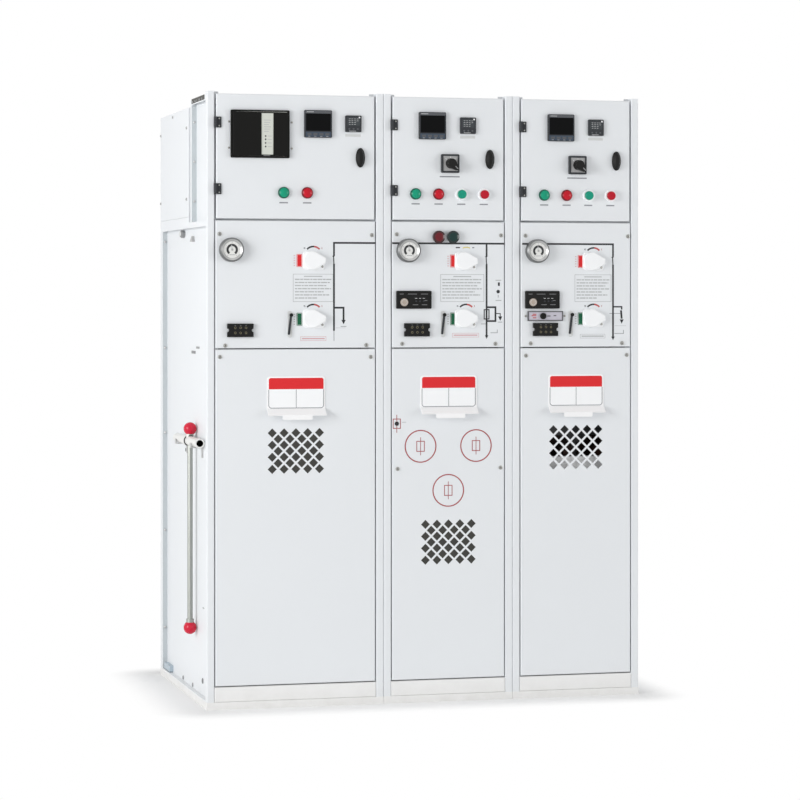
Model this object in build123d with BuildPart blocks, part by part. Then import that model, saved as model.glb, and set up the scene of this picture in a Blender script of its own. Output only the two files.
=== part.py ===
# Gas-insulated switchgear: a row of three metal cubicles on one floor.
# X runs along the row, Y from the front to the rear, Z up, in millimetres.
# The origin is on the floor, in the middle of the whole outline.
import os

from build123d import *

os.makedirs("parts", exist_ok=True)

# The row
CUBICLE_WIDTHS = (500, 375, 375)
DEPTH = 765
HEIGHT = 1700
SEAM = 0.6
SHEET = 2
FOLD = 3
RECESS = 14
POST_WIDTH = 21
POST_DEPTH = 25
STOP_WIDTH = 15

# The plinth
BASE_HEIGHT = 20
BASE_FLANGE = 45
BASE_SHEET = 3
KICK_HEIGHT = 61
KICK_GAP = 0.5
ANCHOR_RADIUS = 7
ANCHOR_INSET_X = 60
ANCHOR_INSET_Y = 22

# The front, from the top down: doors, mechanism panels and cable covers
BOX_HEIGHT = 355
DOOR_DROP = 7
DOOR_GAP = 5
PANEL_HEIGHT = 352
PANEL_DROP = 0.5
PANEL_GAP = 3
PAN_DEPTH = 18
PANEL_DEPTH = 23

# The main body behind the front
RAIL_HEIGHT = 16
REAR_FLANGE = 40
TANK_BOTTOM = 600
TANK_DROP = 45
TANK_FRONT = 185
TANK_REAR_ROOM = 45
TANK_ROUND = 12
MECHANISM_DEPTH = 150
MECHANISM_RISE = 12.5
MECHANISM_SIDE_ROOM = 20
SILL_HEIGHT = 15
BUSHING_PITCH = 105
BUSHING_RISE = 88
BUSHING_FLANGE = (45, 10)
BUSHING_ROOT_RADIUS = 28
BUSHING_TIP_RADIUS = 23
BUSHING_LENGTH = 92
BUSHING_CONTACT = (13, 14)
CABLE_RAIL_DEPTH = 30
CABLE_RAIL_RISE = 30
CABLE_RAIL_SIZE = (25, 50)

# The instrument boxes and the boxes behind them
INSTRUMENT_DEPTH = 257
BOX_FLANGE = 22
ROOF_DROP = 10
ROOF_RAIL = 14
ROOF_LIP = 12
REAR_BOX_FRONT = 281
REAR_BOX_DROP = 28
REAR_COVER_RISE = 16

# Doors, their hinges and latches
HINGE_RISE = 81.5
HINGE_DROP = 79
HINGE_LENGTH = 30
HINGE_LEAF = 12
HINGE_LEAF_THICK = 3
HINGE_LEAF_ROUND = 2
PIN_OUT = 6
PIN_RADIUS = 2
PIN_PLAY = 0.1
KNUCKLE_RADIUS = 4
KNUCKLE_GAP = 0.3
LATCH_DROP = 172
LATCH_FROM_EDGE = 41
LATCH_WIDTH = 26
LATCH_LENGTH = 54
LATCH_RIM = 4
LATCH_CROWN = 9
LATCH_RIDGE = (10, 38)
LATCH_SHAFT_RADIUS = 6
LATCH_CAM_GAP = 4
LATCH_CAM_THICK = 3
LATCH_CAM_HALF = 7
LATCH_CAM_LENGTH = 30

# Instruments on the doors: width, height and how far they stand out
RELAY_SIZE = (165, 132, 8)
RELAY_BODY = (148, 116, 120)
RELAY_PLACE = 148
RELAY_DROP = 110
RELAY_COVER_INSET = 5
RELAY_COVER_OUT = 4
RELAY_STRIP = (33, 114, 1)
RELAY_STRIP_PLACE = 19
METER_SIZE = (78, 76, 9)
METER_BODY = (68, 66, 60)
METER_DROP = 80
METER_PLACES = (311.5, 139.5, 142)
METER_SCREEN = (70, 48, 1.2)
METER_SCREEN_RISE = 4.5
METER_KEYS = 4
METER_KEY = (11, 6, 0.8)
METER_KEY_PITCH = 17
METER_KEY_DROP = 28.5
CONTROLLER_SIZE = (46, 46, 7)
CONTROLLER_BODY = (41, 41, 70)
CONTROLLER_DROP = 78
CONTROLLER_FROM_EDGE = (61.7, 105.4, 102.7)
CONTROLLER_SCREEN = (38, 24, 1)
CONTROLLER_SCREEN_RISE = 6
CONTROLLER_KEYS = 3
CONTROLLER_KEY_RADIUS = 2.6
CONTROLLER_KEY_PITCH = 12
CONTROLLER_KEY_DROP = 14.5
BEZEL_CORNER = 3
BEZEL_EDGE = 1
SELECTOR_SIZE = (52, 52, 10)
SELECTOR_BODY = (40, 40, 45)
SELECTOR_PLACE = 191
SELECTOR_DROP = 185
SELECTOR_DISH = (42, 42, 1.5)
SELECTOR_COLLAR = (14, 3.5)
SELECTOR_GRIP_RADIUS = 13
SELECTOR_TIP_RADIUS = 4
SELECTOR_POINTER = 22
SELECTOR_GRIP_OUT = 19
SELECTOR_GRIP_ROUND = 2.5
SELECTOR_TURN = -45
LAMP_RISE = 72.5
LAMP_RADIUS = 16
LAMP_RIM = 3
LENS_RADIUS = 14.8
LENS_WALL = 4
LENS_CROWN = 6
LAMP_PLACES = ((215, 281.5), (92, 158.5), (93.5, 160))
BUTTON_PLACES = (224.5, 290.5)
BEZEL_RADIUS = 17
BEZEL_OUT = 9
BEZEL_FLOOR = 1
BUTTON_RADIUS = 12
BUTTON_OUT = 14
BUTTON_TRAVEL = 4
BUTTON_DISH = 0.8
SHAFT_22_RADIUS = 11
DEVICE_DEPTH = 45
FIT = 0.5
RUNNING = 0.3

# Devices on the mechanism panels, from each cubicle's left side
GAUGE_PLACES = (67, 69.5, 71)
GAUGE_DROP = 81
GAUGE_RADIUS = 33.5
GAUGE_OUT = 22
GAUGE_SLOPE = 5
GAUGE_LIP = 5
DIAL_RADIUS = 23
DIAL_DEPTH = 4
SHAFT_COVER_PLACES = (294, 231, 233)
SHAFT_COVER_DROPS = (109.5, 270.5)
SHAFT_COVER_RADIUS = 26
SHAFT_COVER_OUT = 14
SHAFT_COVER_ROUND = 4
SHAFT_COVER_BEAK = 39
SHAFT_COVER_BEAK_HALF = 9
SHAFT_COVER_BEAK_ROUND = 3
VOLTAGE_SIZE = (73, 37, 9)
VOLTAGE_PLACES = (92.5, 95, 96)
VOLTAGE_RISE = 49.5
VOLTAGE_NOTCH = 5
VOLTAGE_SOCKET_RADIUS = 2.2
VOLTAGE_SOCKET_DEPTH = 6
VOLTAGE_SOCKET_PITCH = (15, 14)
KEY_SIZE = (104, 28, 5)
KEY_PLACE = 96
KEY_STACK_GAP = 5.5
KEY_FRAME = 3
KEY_FRAME_DEPTH = 1
KEY_LOCK_PLACE = -7
KEY_LOCK_RADIUS = 9
KEY_LOCK_OUT = 5
KEYHOLE = (2.4, 9, 3)
FAULT_SIZE = (101, 50, 8)
FAULT_PLACES = (86, 87)
FAULT_STACK_GAP = 7
FAULT_FRAME = 4
FAULT_FRAME_DEPTH = 1
FAULT_BUTTON_PLACE = (-28.5, -7)
FAULT_BUTTON_RADIUS = 11
FAULT_BUTTON_OUT = 3
INTERLOCK_PLACES = (232, 171, 171.5)
INTERLOCK_RISE = 65.5
INTERLOCK_SIZE = (13, 74, 3)
INTERLOCK_ARM = (6, 58, 3)
INTERLOCK_TILT = -7
INTERLOCK_KNOB_RADIUS = 5
INTERLOCK_KNOB_OUT = 5
INTERLOCK_KNOB_RISE = 26
MECH_BUTTON_PLACES = (157, 198.5)
MECH_BUTTON_DROP = 42.5
MECH_BUTTON_RADIUS = 17.5
MECH_BUTTON_WALL = 8
MECH_BUTTON_CROWN = 4
MECH_BUTTON_TRAVEL = 5
MECH_BUTTON_SHAFT = 10

# The cable covers
VENT_COLUMNS = 5
VENT_ROWS = 7
VENT_PITCH = 33.4
VENT_HOLE = 26
VENT_DROPS = (281.5, 542.5, 281.5)
SCREEN_MARGIN = 8
SCREEN_THICK = 1
HANDLE_WIDTH = 164
HANDLE_DROP = 75.5
HANDLE_PLATE = 88
HANDLE_CORNER = 8
HANDLE_SLOPE = 18
HANDLE_OUT = 24
HANDLE_BEND_ROUND = 1.5
HANDLE_TAB_WIDTH = 84
HANDLE_TAB = 13
HANDLE_TAB_ROUND = 4

# The lever on the left side
LEVER_OUT = 6
LEVER_DEPTH = 229
LEVER_RADIUS = 7.5
LEVER_LENGTH = 561
LEVER_ABOVE_HUB = 34
LEVER_NECK = (11, 12)
BALL_RADIUS = 18.5
HUB_RADIUS = 13
HUB_WALL = 3.5
HUB_BORE_DEPTH = 60
HUB_HEIGHT = 728
HUB_FRONT = 75
HUB_LENGTH = 360
HUB_COLLAR_RADIUS = 16
HUB_COLLAR_FRONT = 241
HUB_COLLAR_LENGTH = 29
HOOK_INSETS = (65, 55)
HOOK_WIDTH = 20
HOOK_PLATE = 30
HOOK_LIP = 12

# Where things are, from the sizes above
ROW_WIDTH = sum(CUBICLE_WIDTHS)
LEVER_REACH = LEVER_OUT + BALL_RADIUS
SELECTOR_START = SELECTOR_SIZE[2] - SELECTOR_DISH[2] + RUNNING
FRONT_REACH = SELECTOR_START + SELECTOR_COLLAR[1] + SELECTOR_GRIP_OUT
LEFT = -(ROW_WIDTH - LEVER_REACH) / 2
FRONT = -(DEPTH - FRONT_REACH) / 2
REAR = FRONT + DEPTH
EDGES = [LEFT + sum(CUBICLE_WIDTHS[:n]) for n in range(len(CUBICLE_WIDTHS) + 1)]
BAYS = [(EDGES[0], EDGES[1] - SEAM / 2),
        (EDGES[1] + SEAM / 2, EDGES[2] - SEAM / 2),
        (EDGES[2] + SEAM / 2, EDGES[3])]
CENTRES = [(a + b) / 2 for a, b in BAYS]
DECK_TOP = HEIGHT - BOX_HEIGHT
DOOR_TOP = HEIGHT - DOOR_DROP
PANEL_TOP = DECK_TOP - PANEL_DROP
DOOR_BOTTOM = PANEL_TOP + DOOR_GAP
PANEL_BOTTOM = PANEL_TOP - PANEL_HEIGHT
COVER_TOP = PANEL_BOTTOM - PANEL_GAP
ROOF_TOP = HEIGHT - ROOF_DROP
REAR_BOX_TOP = HEIGHT - REAR_BOX_DROP
TANK_TOP = DECK_TOP - TANK_DROP
HINGE_HEIGHTS = (DOOR_BOTTOM + HINGE_RISE, DOOR_TOP - HINGE_DROP)
LAMP_HEIGHT = DOOR_BOTTOM + LAMP_RISE
VOLTAGE_HEIGHT = PANEL_BOTTOM + VOLTAGE_RISE
KEY_HEIGHT = VOLTAGE_HEIGHT + (VOLTAGE_SIZE[1] + KEY_SIZE[1]) / 2 + KEY_STACK_GAP
FAULT_HEIGHT = KEY_HEIGHT + (KEY_SIZE[1] + FAULT_SIZE[1]) / 2 + FAULT_STACK_GAP
BUTTON_START = BEZEL_FLOOR + BUTTON_TRAVEL + RUNNING
MECH_BUTTON_START = MECH_BUTTON_TRAVEL + RUNNING
PIN_Y = FRONT - PIN_OUT
KNUCKLE = HINGE_LENGTH / 3
LOW = (Align.MIN, Align.MIN, Align.MIN)

# The front sheets lie behind this plane, and devices are drawn on Plane.XZ and
# then set on it. A turned device is drawn as radius across and distance out.
FRONT_PLANE = Plane.XZ.offset(-FRONT)
TURNED = Plane(origin=(0, 0, 0), x_dir=(1, 0, 0), z_dir=(0, 0, -1))


def block(x, y, z, mode=Mode.ADD):
    """A straight block between two X, two Y and two Z values."""
    with Locations((x[0], y[0], z[0])):
        Box(x[1] - x[0], y[1] - y[0], z[1] - z[0], align=LOW, mode=mode)


def pan(x, z, depth):
    """A front sheet with rounded folds along its four edges, open to the rear."""
    block(x, (FRONT, FRONT + depth), z)
    fillet(edges(Select.LAST).filter_by_position(Axis.Y, FRONT, FRONT), FOLD)
    inside_x = (x[0] + SHEET, x[1] - SHEET)
    inside_z = (z[0] + SHEET, z[1] - SHEET)
    block(inside_x, (FRONT + SHEET, FRONT + depth), inside_z, Mode.SUBTRACT)


def on_front(bay, place, height):
    """A point of the front plane, from the left side of a cubicle."""
    return (EDGES[bay] + place, height)


def set_on_front(form, places):
    """Copies of a device on the front plane, one at each place."""
    with Locations(*[(x, FRONT, z) for x, z in places]):
        add(form.part)


# Folded posts at the front corners, each with a stop behind the doors and panels
with BuildPart() as front_posts:
    for x0, x1 in BAYS:
        for a, inward in ((x0, 1), (x1, -1)):
            with BuildSketch(Plane.XY.offset(BASE_HEIGHT)) as section:
                with BuildLine():
                    Polyline((a, FRONT), (a + inward * POST_WIDTH, FRONT),
                             (a + inward * POST_WIDTH, FRONT + PANEL_DEPTH),
                             (a + inward * (POST_WIDTH + STOP_WIDTH), FRONT + PANEL_DEPTH),
                             (a + inward * (POST_WIDTH + STOP_WIDTH), FRONT + POST_DEPTH),
                             (a, FRONT + POST_DEPTH), close=True)
                make_face()
                fillet(section.vertices().group_by(Axis.Y)[0], radius=FOLD)
            extrude(amount=HEIGHT - BASE_HEIGHT)
            inside = sorted((a + inward * SHEET, a + inward * (POST_WIDTH - SHEET)))
            block(inside, (FRONT + SHEET, FRONT + PANEL_DEPTH),
                  (BASE_HEIGHT, HEIGHT - SHEET), Mode.SUBTRACT)
front_posts.part.label = "front_posts"
export_step(front_posts.part, "parts/front_posts.step")

# Rear flanges of the side sheets, as posts up to the deck
with BuildPart() as rear_posts:
    for x0, x1 in BAYS:
        for a, b in ((x0, x0 + POST_WIDTH), (x1 - POST_WIDTH, x1)):
            block((a, b), (REAR - REAR_FLANGE, REAR), (BASE_HEIGHT, DECK_TOP - SHEET))
            block((a + SHEET, b - SHEET), (REAR - REAR_FLANGE + SHEET, REAR - SHEET),
                  (BASE_HEIGHT, DECK_TOP - SHEET), Mode.SUBTRACT)
rear_posts.part.label = "rear_posts"
export_step(rear_posts.part, "parts/rear_posts.step")

# Angle frame under each cubicle, with holes for the floor anchors
with BuildPart() as base_frame:
    for x0, x1 in BAYS:
        block((x0, x1), (FRONT, REAR), (0, BASE_HEIGHT))
        block((x0 + BASE_SHEET, x1 - BASE_SHEET), (FRONT + BASE_SHEET, REAR - BASE_SHEET),
              (BASE_SHEET, BASE_HEIGHT), Mode.SUBTRACT)
        block((x0 + BASE_FLANGE, x1 - BASE_FLANGE), (FRONT + BASE_FLANGE, REAR - BASE_FLANGE),
              (0, BASE_SHEET), Mode.SUBTRACT)
        for x in (x0 + ANCHOR_INSET_X, x1 - ANCHOR_INSET_X):
            for y in (FRONT + ANCHOR_INSET_Y, REAR - ANCHOR_INSET_Y):
                with Locations((x, y, BASE_SHEET)):
                    Hole(ANCHOR_RADIUS, depth=BASE_SHEET)
base_frame.part.label = "base_frame"
export_step(base_frame.part, "parts/base_frame.step")

# Kick plates between the posts, at the floor
with BuildPart() as kick_plates:
    for x0, x1 in BAYS:
        pan((x0 + POST_WIDTH + KICK_GAP, x1 - POST_WIDTH - KICK_GAP), (BASE_HEIGHT, KICK_HEIGHT),
            PANEL_DEPTH)
kick_plates.part.label = "kick_plates"
export_step(kick_plates.part, "parts/kick_plates.step")

# Side sheets, set back between the flanges, below the deck and above it
with BuildPart() as side_sheets:
    for x0, x1 in BAYS:
        for edge, inward in ((x0, 1), (x1, -1)):
            sheet = sorted((edge + inward * RECESS, edge + inward * (RECESS + SHEET)))
            block(sheet, (FRONT + POST_DEPTH, REAR - REAR_FLANGE), (BASE_HEIGHT, DECK_TOP - SHEET))
            block(sheet, (FRONT + POST_DEPTH, FRONT + INSTRUMENT_DEPTH - BOX_FLANGE),
                  (DECK_TOP, ROOF_TOP - SHEET))
side_sheets.part.label = "side_sheets"
export_step(side_sheets.part, "parts/side_sheets.step")

# Sill strips that close the foot of each side recess
with BuildPart() as side_sills:
    for x0, x1 in BAYS:
        for edge, inward in ((x0, 1), (x1, -1)):
            block(sorted((edge, edge + inward * RECESS)), (FRONT + POST_DEPTH, REAR - REAR_FLANGE),
                  (BASE_HEIGHT, BASE_HEIGHT + SHEET))
side_sills.part.label = "side_sills"
export_step(side_sills.part, "parts/side_sills.step")

# Decks that close the main body, with rails folded down along both sides
with BuildPart() as decks:
    for x0, x1 in BAYS:
        block((x0, x1), (FRONT + POST_DEPTH, REAR), (DECK_TOP - SHEET, DECK_TOP))
        for a in (x0, x1 - SHEET):
            block((a, a + SHEET), (FRONT + POST_DEPTH, REAR - REAR_FLANGE),
                  (DECK_TOP - RAIL_HEIGHT, DECK_TOP))
        block((x0 + POST_WIDTH + STOP_WIDTH, x1 - POST_WIDTH - STOP_WIDTH),
              (FRONT + PANEL_DEPTH, FRONT + POST_DEPTH), (DECK_TOP - SHEET, DECK_TOP + SILL_HEIGHT))
decks.part.label = "decks"
export_step(decks.part, "parts/decks.step")

# Rear panels
with BuildPart() as rear_panels:
    for x0, x1 in BAYS:
        block((x0 + POST_WIDTH, x1 - POST_WIDTH), (REAR - SHEET, REAR),
              (BASE_HEIGHT, DECK_TOP - SHEET))
rear_panels.part.label = "rear_panels"
export_step(rear_panels.part, "parts/rear_panels.step")

# Backs of the instrument boxes, with flanges folded forward at both sides
with BuildPart() as box_backs:
    for x0, x1 in BAYS:
        back = FRONT + INSTRUMENT_DEPTH
        block((x0, x1), (back - BOX_FLANGE, back), (DECK_TOP, ROOF_TOP - SHEET))
        block((x0 + SHEET, x1 - SHEET), (back - BOX_FLANGE, back - SHEET),
              (DECK_TOP, ROOF_TOP - SHEET), Mode.SUBTRACT)
        for a, b in ((x0, x0 + RECESS), (x1 - RECESS, x1)):
            block((a, b), (back - BOX_FLANGE, back - BOX_FLANGE + SHEET),
                  (DECK_TOP, ROOF_TOP - SHEET))
box_backs.part.label = "box_backs"
export_step(box_backs.part, "parts/box_backs.step")

# Roofs of the instrument boxes
with BuildPart() as box_roofs:
    for x0, x1 in BAYS:
        back = FRONT + INSTRUMENT_DEPTH
        block((x0, x1), (FRONT + POST_DEPTH, back), (ROOF_TOP - SHEET, ROOF_TOP))
        block((x0 + POST_WIDTH + STOP_WIDTH, x1 - POST_WIDTH - STOP_WIDTH),
              (FRONT + PANEL_DEPTH, FRONT + POST_DEPTH), (ROOF_TOP - ROOF_LIP, ROOF_TOP))
        for a in (x0, x1 - SHEET):
            block((a, a + SHEET), (FRONT + POST_DEPTH, back - BOX_FLANGE),
                  (ROOF_TOP - ROOF_RAIL, ROOF_TOP))
box_roofs.part.label = "box_roofs"
export_step(box_roofs.part, "parts/box_roofs.step")

# Boxes behind the instrument boxes, over the main body
with BuildPart() as rear_boxes:
    for x0, x1 in BAYS:
        block((x0, x1), (FRONT + REAR_BOX_FRONT, REAR), (DECK_TOP, DECK_TOP + REAR_COVER_RISE))
        block((x0 + RECESS, x1 - RECESS), (FRONT + REAR_BOX_FRONT, REAR), (DECK_TOP, REAR_BOX_TOP))
        block((x0 + RECESS + SHEET, x1 - RECESS - SHEET),
              (FRONT + REAR_BOX_FRONT + SHEET, REAR - SHEET),
              (DECK_TOP, REAR_BOX_TOP - SHEET), Mode.SUBTRACT)
rear_boxes.part.label = "rear_boxes"
export_step(rear_boxes.part, "parts/rear_boxes.step")

# Cover sheets on the two ends of the rear boxes
with BuildPart() as rear_box_covers:
    low = DECK_TOP + REAR_COVER_RISE + SEAM
    for a, inward in ((EDGES[0], 1), (EDGES[3], -1)):
        block(sorted((a, a + inward * RECESS)), (FRONT + REAR_BOX_FRONT, REAR), (low, REAR_BOX_TOP))
        block(sorted((a + inward * SHEET, a + inward * RECESS)),
              (FRONT + REAR_BOX_FRONT + SHEET, REAR - SHEET), (low + SHEET, REAR_BOX_TOP - SHEET),
              Mode.SUBTRACT)
rear_box_covers.part.label = "rear_box_covers"
export_step(rear_box_covers.part, "parts/rear_box_covers.step")

# Gas tanks, welded steel with rounded front corners
with BuildPart() as gas_tanks:
    for x0, x1 in BAYS:
        block((x0 + RECESS + SHEET, x1 - RECESS - SHEET),
              (FRONT + TANK_FRONT, REAR - TANK_REAR_ROOM), (TANK_BOTTOM, TANK_TOP))
        uprights = edges(Select.LAST).filter_by(Axis.Z)
        fillet(uprights.filter_by_position(Axis.Y, FRONT + TANK_FRONT, FRONT + TANK_FRONT), TANK_ROUND)
gas_tanks.part.label = "gas_tanks"
export_step(gas_tanks.part, "parts/gas_tanks.step")

# Cable bushings: a flange on the tank, a cast cone and a contact, three to a tank
with BuildPart() as bushing:
    with BuildSketch(TURNED):
        with BuildLine():
            flange_radius, flange_thick = BUSHING_FLANGE
            contact_radius, contact_length = BUSHING_CONTACT
            Polyline((0, 0), (flange_radius, 0), (flange_radius, flange_thick),
                     (BUSHING_ROOT_RADIUS, flange_thick), (BUSHING_TIP_RADIUS, BUSHING_LENGTH),
                     (contact_radius, BUSHING_LENGTH),
                     (contact_radius, BUSHING_LENGTH + contact_length),
                     (0, BUSHING_LENGTH + contact_length), close=True)
        make_face()
    revolve(axis=Axis.Y)

with BuildPart() as cable_bushings:
    for centre in CENTRES:
        with Locations((centre, FRONT + TANK_FRONT, TANK_BOTTOM + BUSHING_RISE)):
            with Locations((-BUSHING_PITCH, 0, 0), (0, 0, 0), (BUSHING_PITCH, 0, 0)):
                add(bushing.part)
cable_bushings.part.label = "cable_bushings"
export_step(cable_bushings.part, "parts/cable_bushings.step")

# Rails across the cable compartments that the cables are clamped to
with BuildPart() as cable_rails:
    deep, tall = CABLE_RAIL_SIZE
    front, low = FRONT + CABLE_RAIL_DEPTH, TANK_BOTTOM + CABLE_RAIL_RISE
    for x0, x1 in BAYS:
        span = (x0 + RECESS + SHEET, x1 - RECESS - SHEET)
        block(span, (front, front + deep), (low, low + tall))
        block(span, (front + SHEET, front + deep), (low + SHEET, low + tall - SHEET), Mode.SUBTRACT)
cable_rails.part.label = "cable_rails"
export_step(cable_rails.part, "parts/cable_rails.step")

# Operating mechanisms between the tanks and the front panels
with BuildPart() as mechanisms:
    for x0, x1 in BAYS:
        block((x0 + RECESS + MECHANISM_SIDE_ROOM, x1 - RECESS - MECHANISM_SIDE_ROOM),
              (FRONT + TANK_FRONT - MECHANISM_DEPTH, FRONT + TANK_FRONT),
              (PANEL_BOTTOM + MECHANISM_RISE, TANK_TOP))
mechanisms.part.label = "mechanisms"
export_step(mechanisms.part, "parts/mechanisms.step")

# Mechanism panels, the middle row of the front
with BuildPart() as mechanism_panels:
    for x0, x1 in BAYS:
        pan((x0 + POST_WIDTH + PANEL_GAP, x1 - POST_WIDTH - PANEL_GAP),
            (PANEL_BOTTOM, PANEL_TOP), PANEL_DEPTH)
    with BuildSketch(FRONT_PLANE):
        for place in MECH_BUTTON_PLACES:
            with Locations(on_front(1, place, PANEL_TOP - MECH_BUTTON_DROP)):
                Circle(SHAFT_22_RADIUS)
    extrude(amount=-SHEET, mode=Mode.SUBTRACT)
mechanism_panels.part.label = "mechanism_panels"
export_step(mechanism_panels.part, "parts/mechanism_panels.step")

# Cable covers, the bottom row, with a vent of diamond holes each
with BuildPart() as cable_covers:
    for x0, x1 in BAYS:
        pan((x0 + POST_WIDTH + PANEL_GAP, x1 - POST_WIDTH - PANEL_GAP),
            (KICK_HEIGHT + PANEL_GAP, COVER_TOP), PANEL_DEPTH)
    with BuildSketch(FRONT_PLANE):
        side = VENT_HOLE / 2 ** 0.5
        wide_rows = (VENT_ROWS + 1) // 2
        for centre, drop in zip(CENTRES, VENT_DROPS):
            with Locations((centre, COVER_TOP - drop)):
                with GridLocations(VENT_PITCH, VENT_PITCH, VENT_COLUMNS, wide_rows):
                    Rectangle(side, side, rotation=45)
                with GridLocations(VENT_PITCH, VENT_PITCH, VENT_COLUMNS - 1, wide_rows - 1):
                    Rectangle(side, side, rotation=45)
    extrude(amount=-SHEET, mode=Mode.SUBTRACT)
cable_covers.part.label = "cable_covers"
export_step(cable_covers.part, "parts/cable_covers.step")

# Fine-mesh screens on the inner side of the first two covers, behind the vents
with BuildPart() as vent_screens:
    reach = VENT_HOLE / 2 + SCREEN_MARGIN
    half_width = (VENT_COLUMNS - 1) * VENT_PITCH / 2 + reach
    half_height = (VENT_ROWS - 1) * VENT_PITCH / 4 + reach
    for centre, drop in zip(CENTRES[:2], VENT_DROPS):
        block((centre - half_width, centre + half_width),
              (FRONT + SHEET, FRONT + SHEET + SCREEN_THICK),
              (COVER_TOP - drop - half_height, COVER_TOP - drop + half_height))
vent_screens.part.label = "vent_screens"
export_step(vent_screens.part, "parts/vent_screens.step")

# Handle of a cable cover: a plate, a slope outward and a finger tab
with BuildPart() as handle:
    with BuildSketch(Plane.YZ) as section:
        with BuildLine():
            Polyline((0, HANDLE_PLATE), (-SHEET, HANDLE_PLATE), (-SHEET, 0),
                     (-HANDLE_OUT, -HANDLE_SLOPE), (-HANDLE_OUT + SHEET, -HANDLE_SLOPE - SHEET),
                     (0, -SHEET), close=True)
        make_face()
        bend = section.vertices().filter_by_position(Axis.X, -SHEET, -SHEET).sort_by(Axis.Y)[0]
        fillet(bend, radius=HANDLE_BEND_ROUND)
    extrude(amount=HANDLE_WIDTH / 2, both=True)
    fillet(handle.edges().filter_by(Axis.Y).group_by(Axis.Z)[-1], HANDLE_CORNER)
    block((-HANDLE_TAB_WIDTH / 2, HANDLE_TAB_WIDTH / 2), (-HANDLE_OUT, -HANDLE_OUT + SHEET),
          (-HANDLE_SLOPE - HANDLE_TAB, -HANDLE_SLOPE))
    fillet(handle.edges().filter_by(Axis.Y).group_by(Axis.Z)[0], HANDLE_TAB_ROUND)

with BuildPart() as cover_handles:
    bend_height = COVER_TOP - HANDLE_DROP - HANDLE_PLATE
    set_on_front(handle, [(centre, bend_height) for centre in CENTRES])
cover_handles.part.label = "cover_handles"
export_step(cover_handles.part, "parts/cover_handles.step")

# Pressure gauge: a turned bezel round a sunk dial
with BuildPart() as gauge:
    with BuildSketch(TURNED) as profile:
        with BuildLine():
            lip = DIAL_RADIUS + GAUGE_LIP
            Polyline((0, 0), (GAUGE_RADIUS, 0), (GAUGE_RADIUS, GAUGE_OUT - GAUGE_SLOPE),
                     (lip + 1, GAUGE_OUT), (lip, GAUGE_OUT), (DIAL_RADIUS, GAUGE_OUT - DIAL_DEPTH),
                     (0, GAUGE_OUT - DIAL_DEPTH), close=True)
        make_face()
        outer = profile.vertices().filter_by_position(Axis.X, GAUGE_RADIUS, GAUGE_RADIUS)
        fillet(outer.sort_by(Axis.Y)[-1], radius=FOLD)
    revolve(axis=Axis.Y)

with BuildPart() as gauges:
    set_on_front(gauge, [on_front(n, GAUGE_PLACES[n], PANEL_TOP - GAUGE_DROP) for n in range(3)])
gauges.part.label = "gauges"
export_step(gauges.part, "parts/gauges.step")

# Cover over a drive shaft, round with a beak for a padlock
with BuildPart() as shaft_cover:
    with BuildSketch(Plane.XZ):
        Circle(SHAFT_COVER_RADIUS)
        beak = SHAFT_COVER_BEAK - SHAFT_COVER_BEAK_ROUND
        half = SHAFT_COVER_BEAK_HALF - SHAFT_COVER_BEAK_ROUND
        with Locations((beak, half), (beak, -half)):
            Circle(SHAFT_COVER_BEAK_ROUND)
        make_hull()
    extrude(amount=SHAFT_COVER_OUT)
    fillet(shaft_cover.edges().group_by(Axis.Y)[0], SHAFT_COVER_ROUND)

with BuildPart() as shaft_covers:
    set_on_front(shaft_cover, [on_front(n, SHAFT_COVER_PLACES[n], PANEL_TOP - drop)
                               for n in range(3) for drop in SHAFT_COVER_DROPS])
shaft_covers.part.label = "shaft_covers"
export_step(shaft_covers.part, "parts/shaft_covers.step")

# Fault indicator: a moulded frame round a sunk face, with a round test button
with BuildPart() as fault_indicator:
    with BuildSketch(Plane.XZ):
        RectangleRounded(FAULT_SIZE[0], FAULT_SIZE[1], BEZEL_CORNER)
    extrude(amount=FAULT_SIZE[2])
    chamfer(fault_indicator.edges().group_by(Axis.Y)[0], BEZEL_EDGE)
    with BuildSketch(Plane.XZ.offset(FAULT_SIZE[2])):
        Rectangle(FAULT_SIZE[0] - 2 * FAULT_FRAME, FAULT_SIZE[1] - 2 * FAULT_FRAME)
    extrude(amount=-FAULT_FRAME_DEPTH, mode=Mode.SUBTRACT)
    with BuildSketch(Plane.XZ.offset(FAULT_SIZE[2] - FAULT_FRAME_DEPTH)):
        with Locations(FAULT_BUTTON_PLACE):
            Circle(FAULT_BUTTON_RADIUS)
    extrude(amount=FAULT_BUTTON_OUT)
    chamfer(fault_indicator.edges().group_by(Axis.Y)[0], BEZEL_EDGE)

with BuildPart() as fault_indicators:
    set_on_front(fault_indicator, [on_front(n + 1, FAULT_PLACES[n], FAULT_HEIGHT) for n in range(2)])
fault_indicators.part.label = "fault_indicators"
export_step(fault_indicators.part, "parts/fault_indicators.step")

# Voltage indicator: two rows of sockets, and a notch at each side
with BuildPart() as voltage_indicator:
    with BuildSketch(Plane.XZ):
        RectangleRounded(VOLTAGE_SIZE[0], VOLTAGE_SIZE[1], BEZEL_EDGE)
        with Locations((-VOLTAGE_SIZE[0] / 2, 0), (VOLTAGE_SIZE[0] / 2, 0)):
            Circle(VOLTAGE_NOTCH, mode=Mode.SUBTRACT)
    extrude(amount=VOLTAGE_SIZE[2])
    chamfer(voltage_indicator.edges().group_by(Axis.Y)[0], BEZEL_EDGE)
    with BuildSketch(Plane.XZ.offset(VOLTAGE_SIZE[2])):
        with GridLocations(VOLTAGE_SOCKET_PITCH[0], VOLTAGE_SOCKET_PITCH[1], 3, 2):
            Circle(VOLTAGE_SOCKET_RADIUS)
    extrude(amount=-VOLTAGE_SOCKET_DEPTH, mode=Mode.SUBTRACT)

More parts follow.
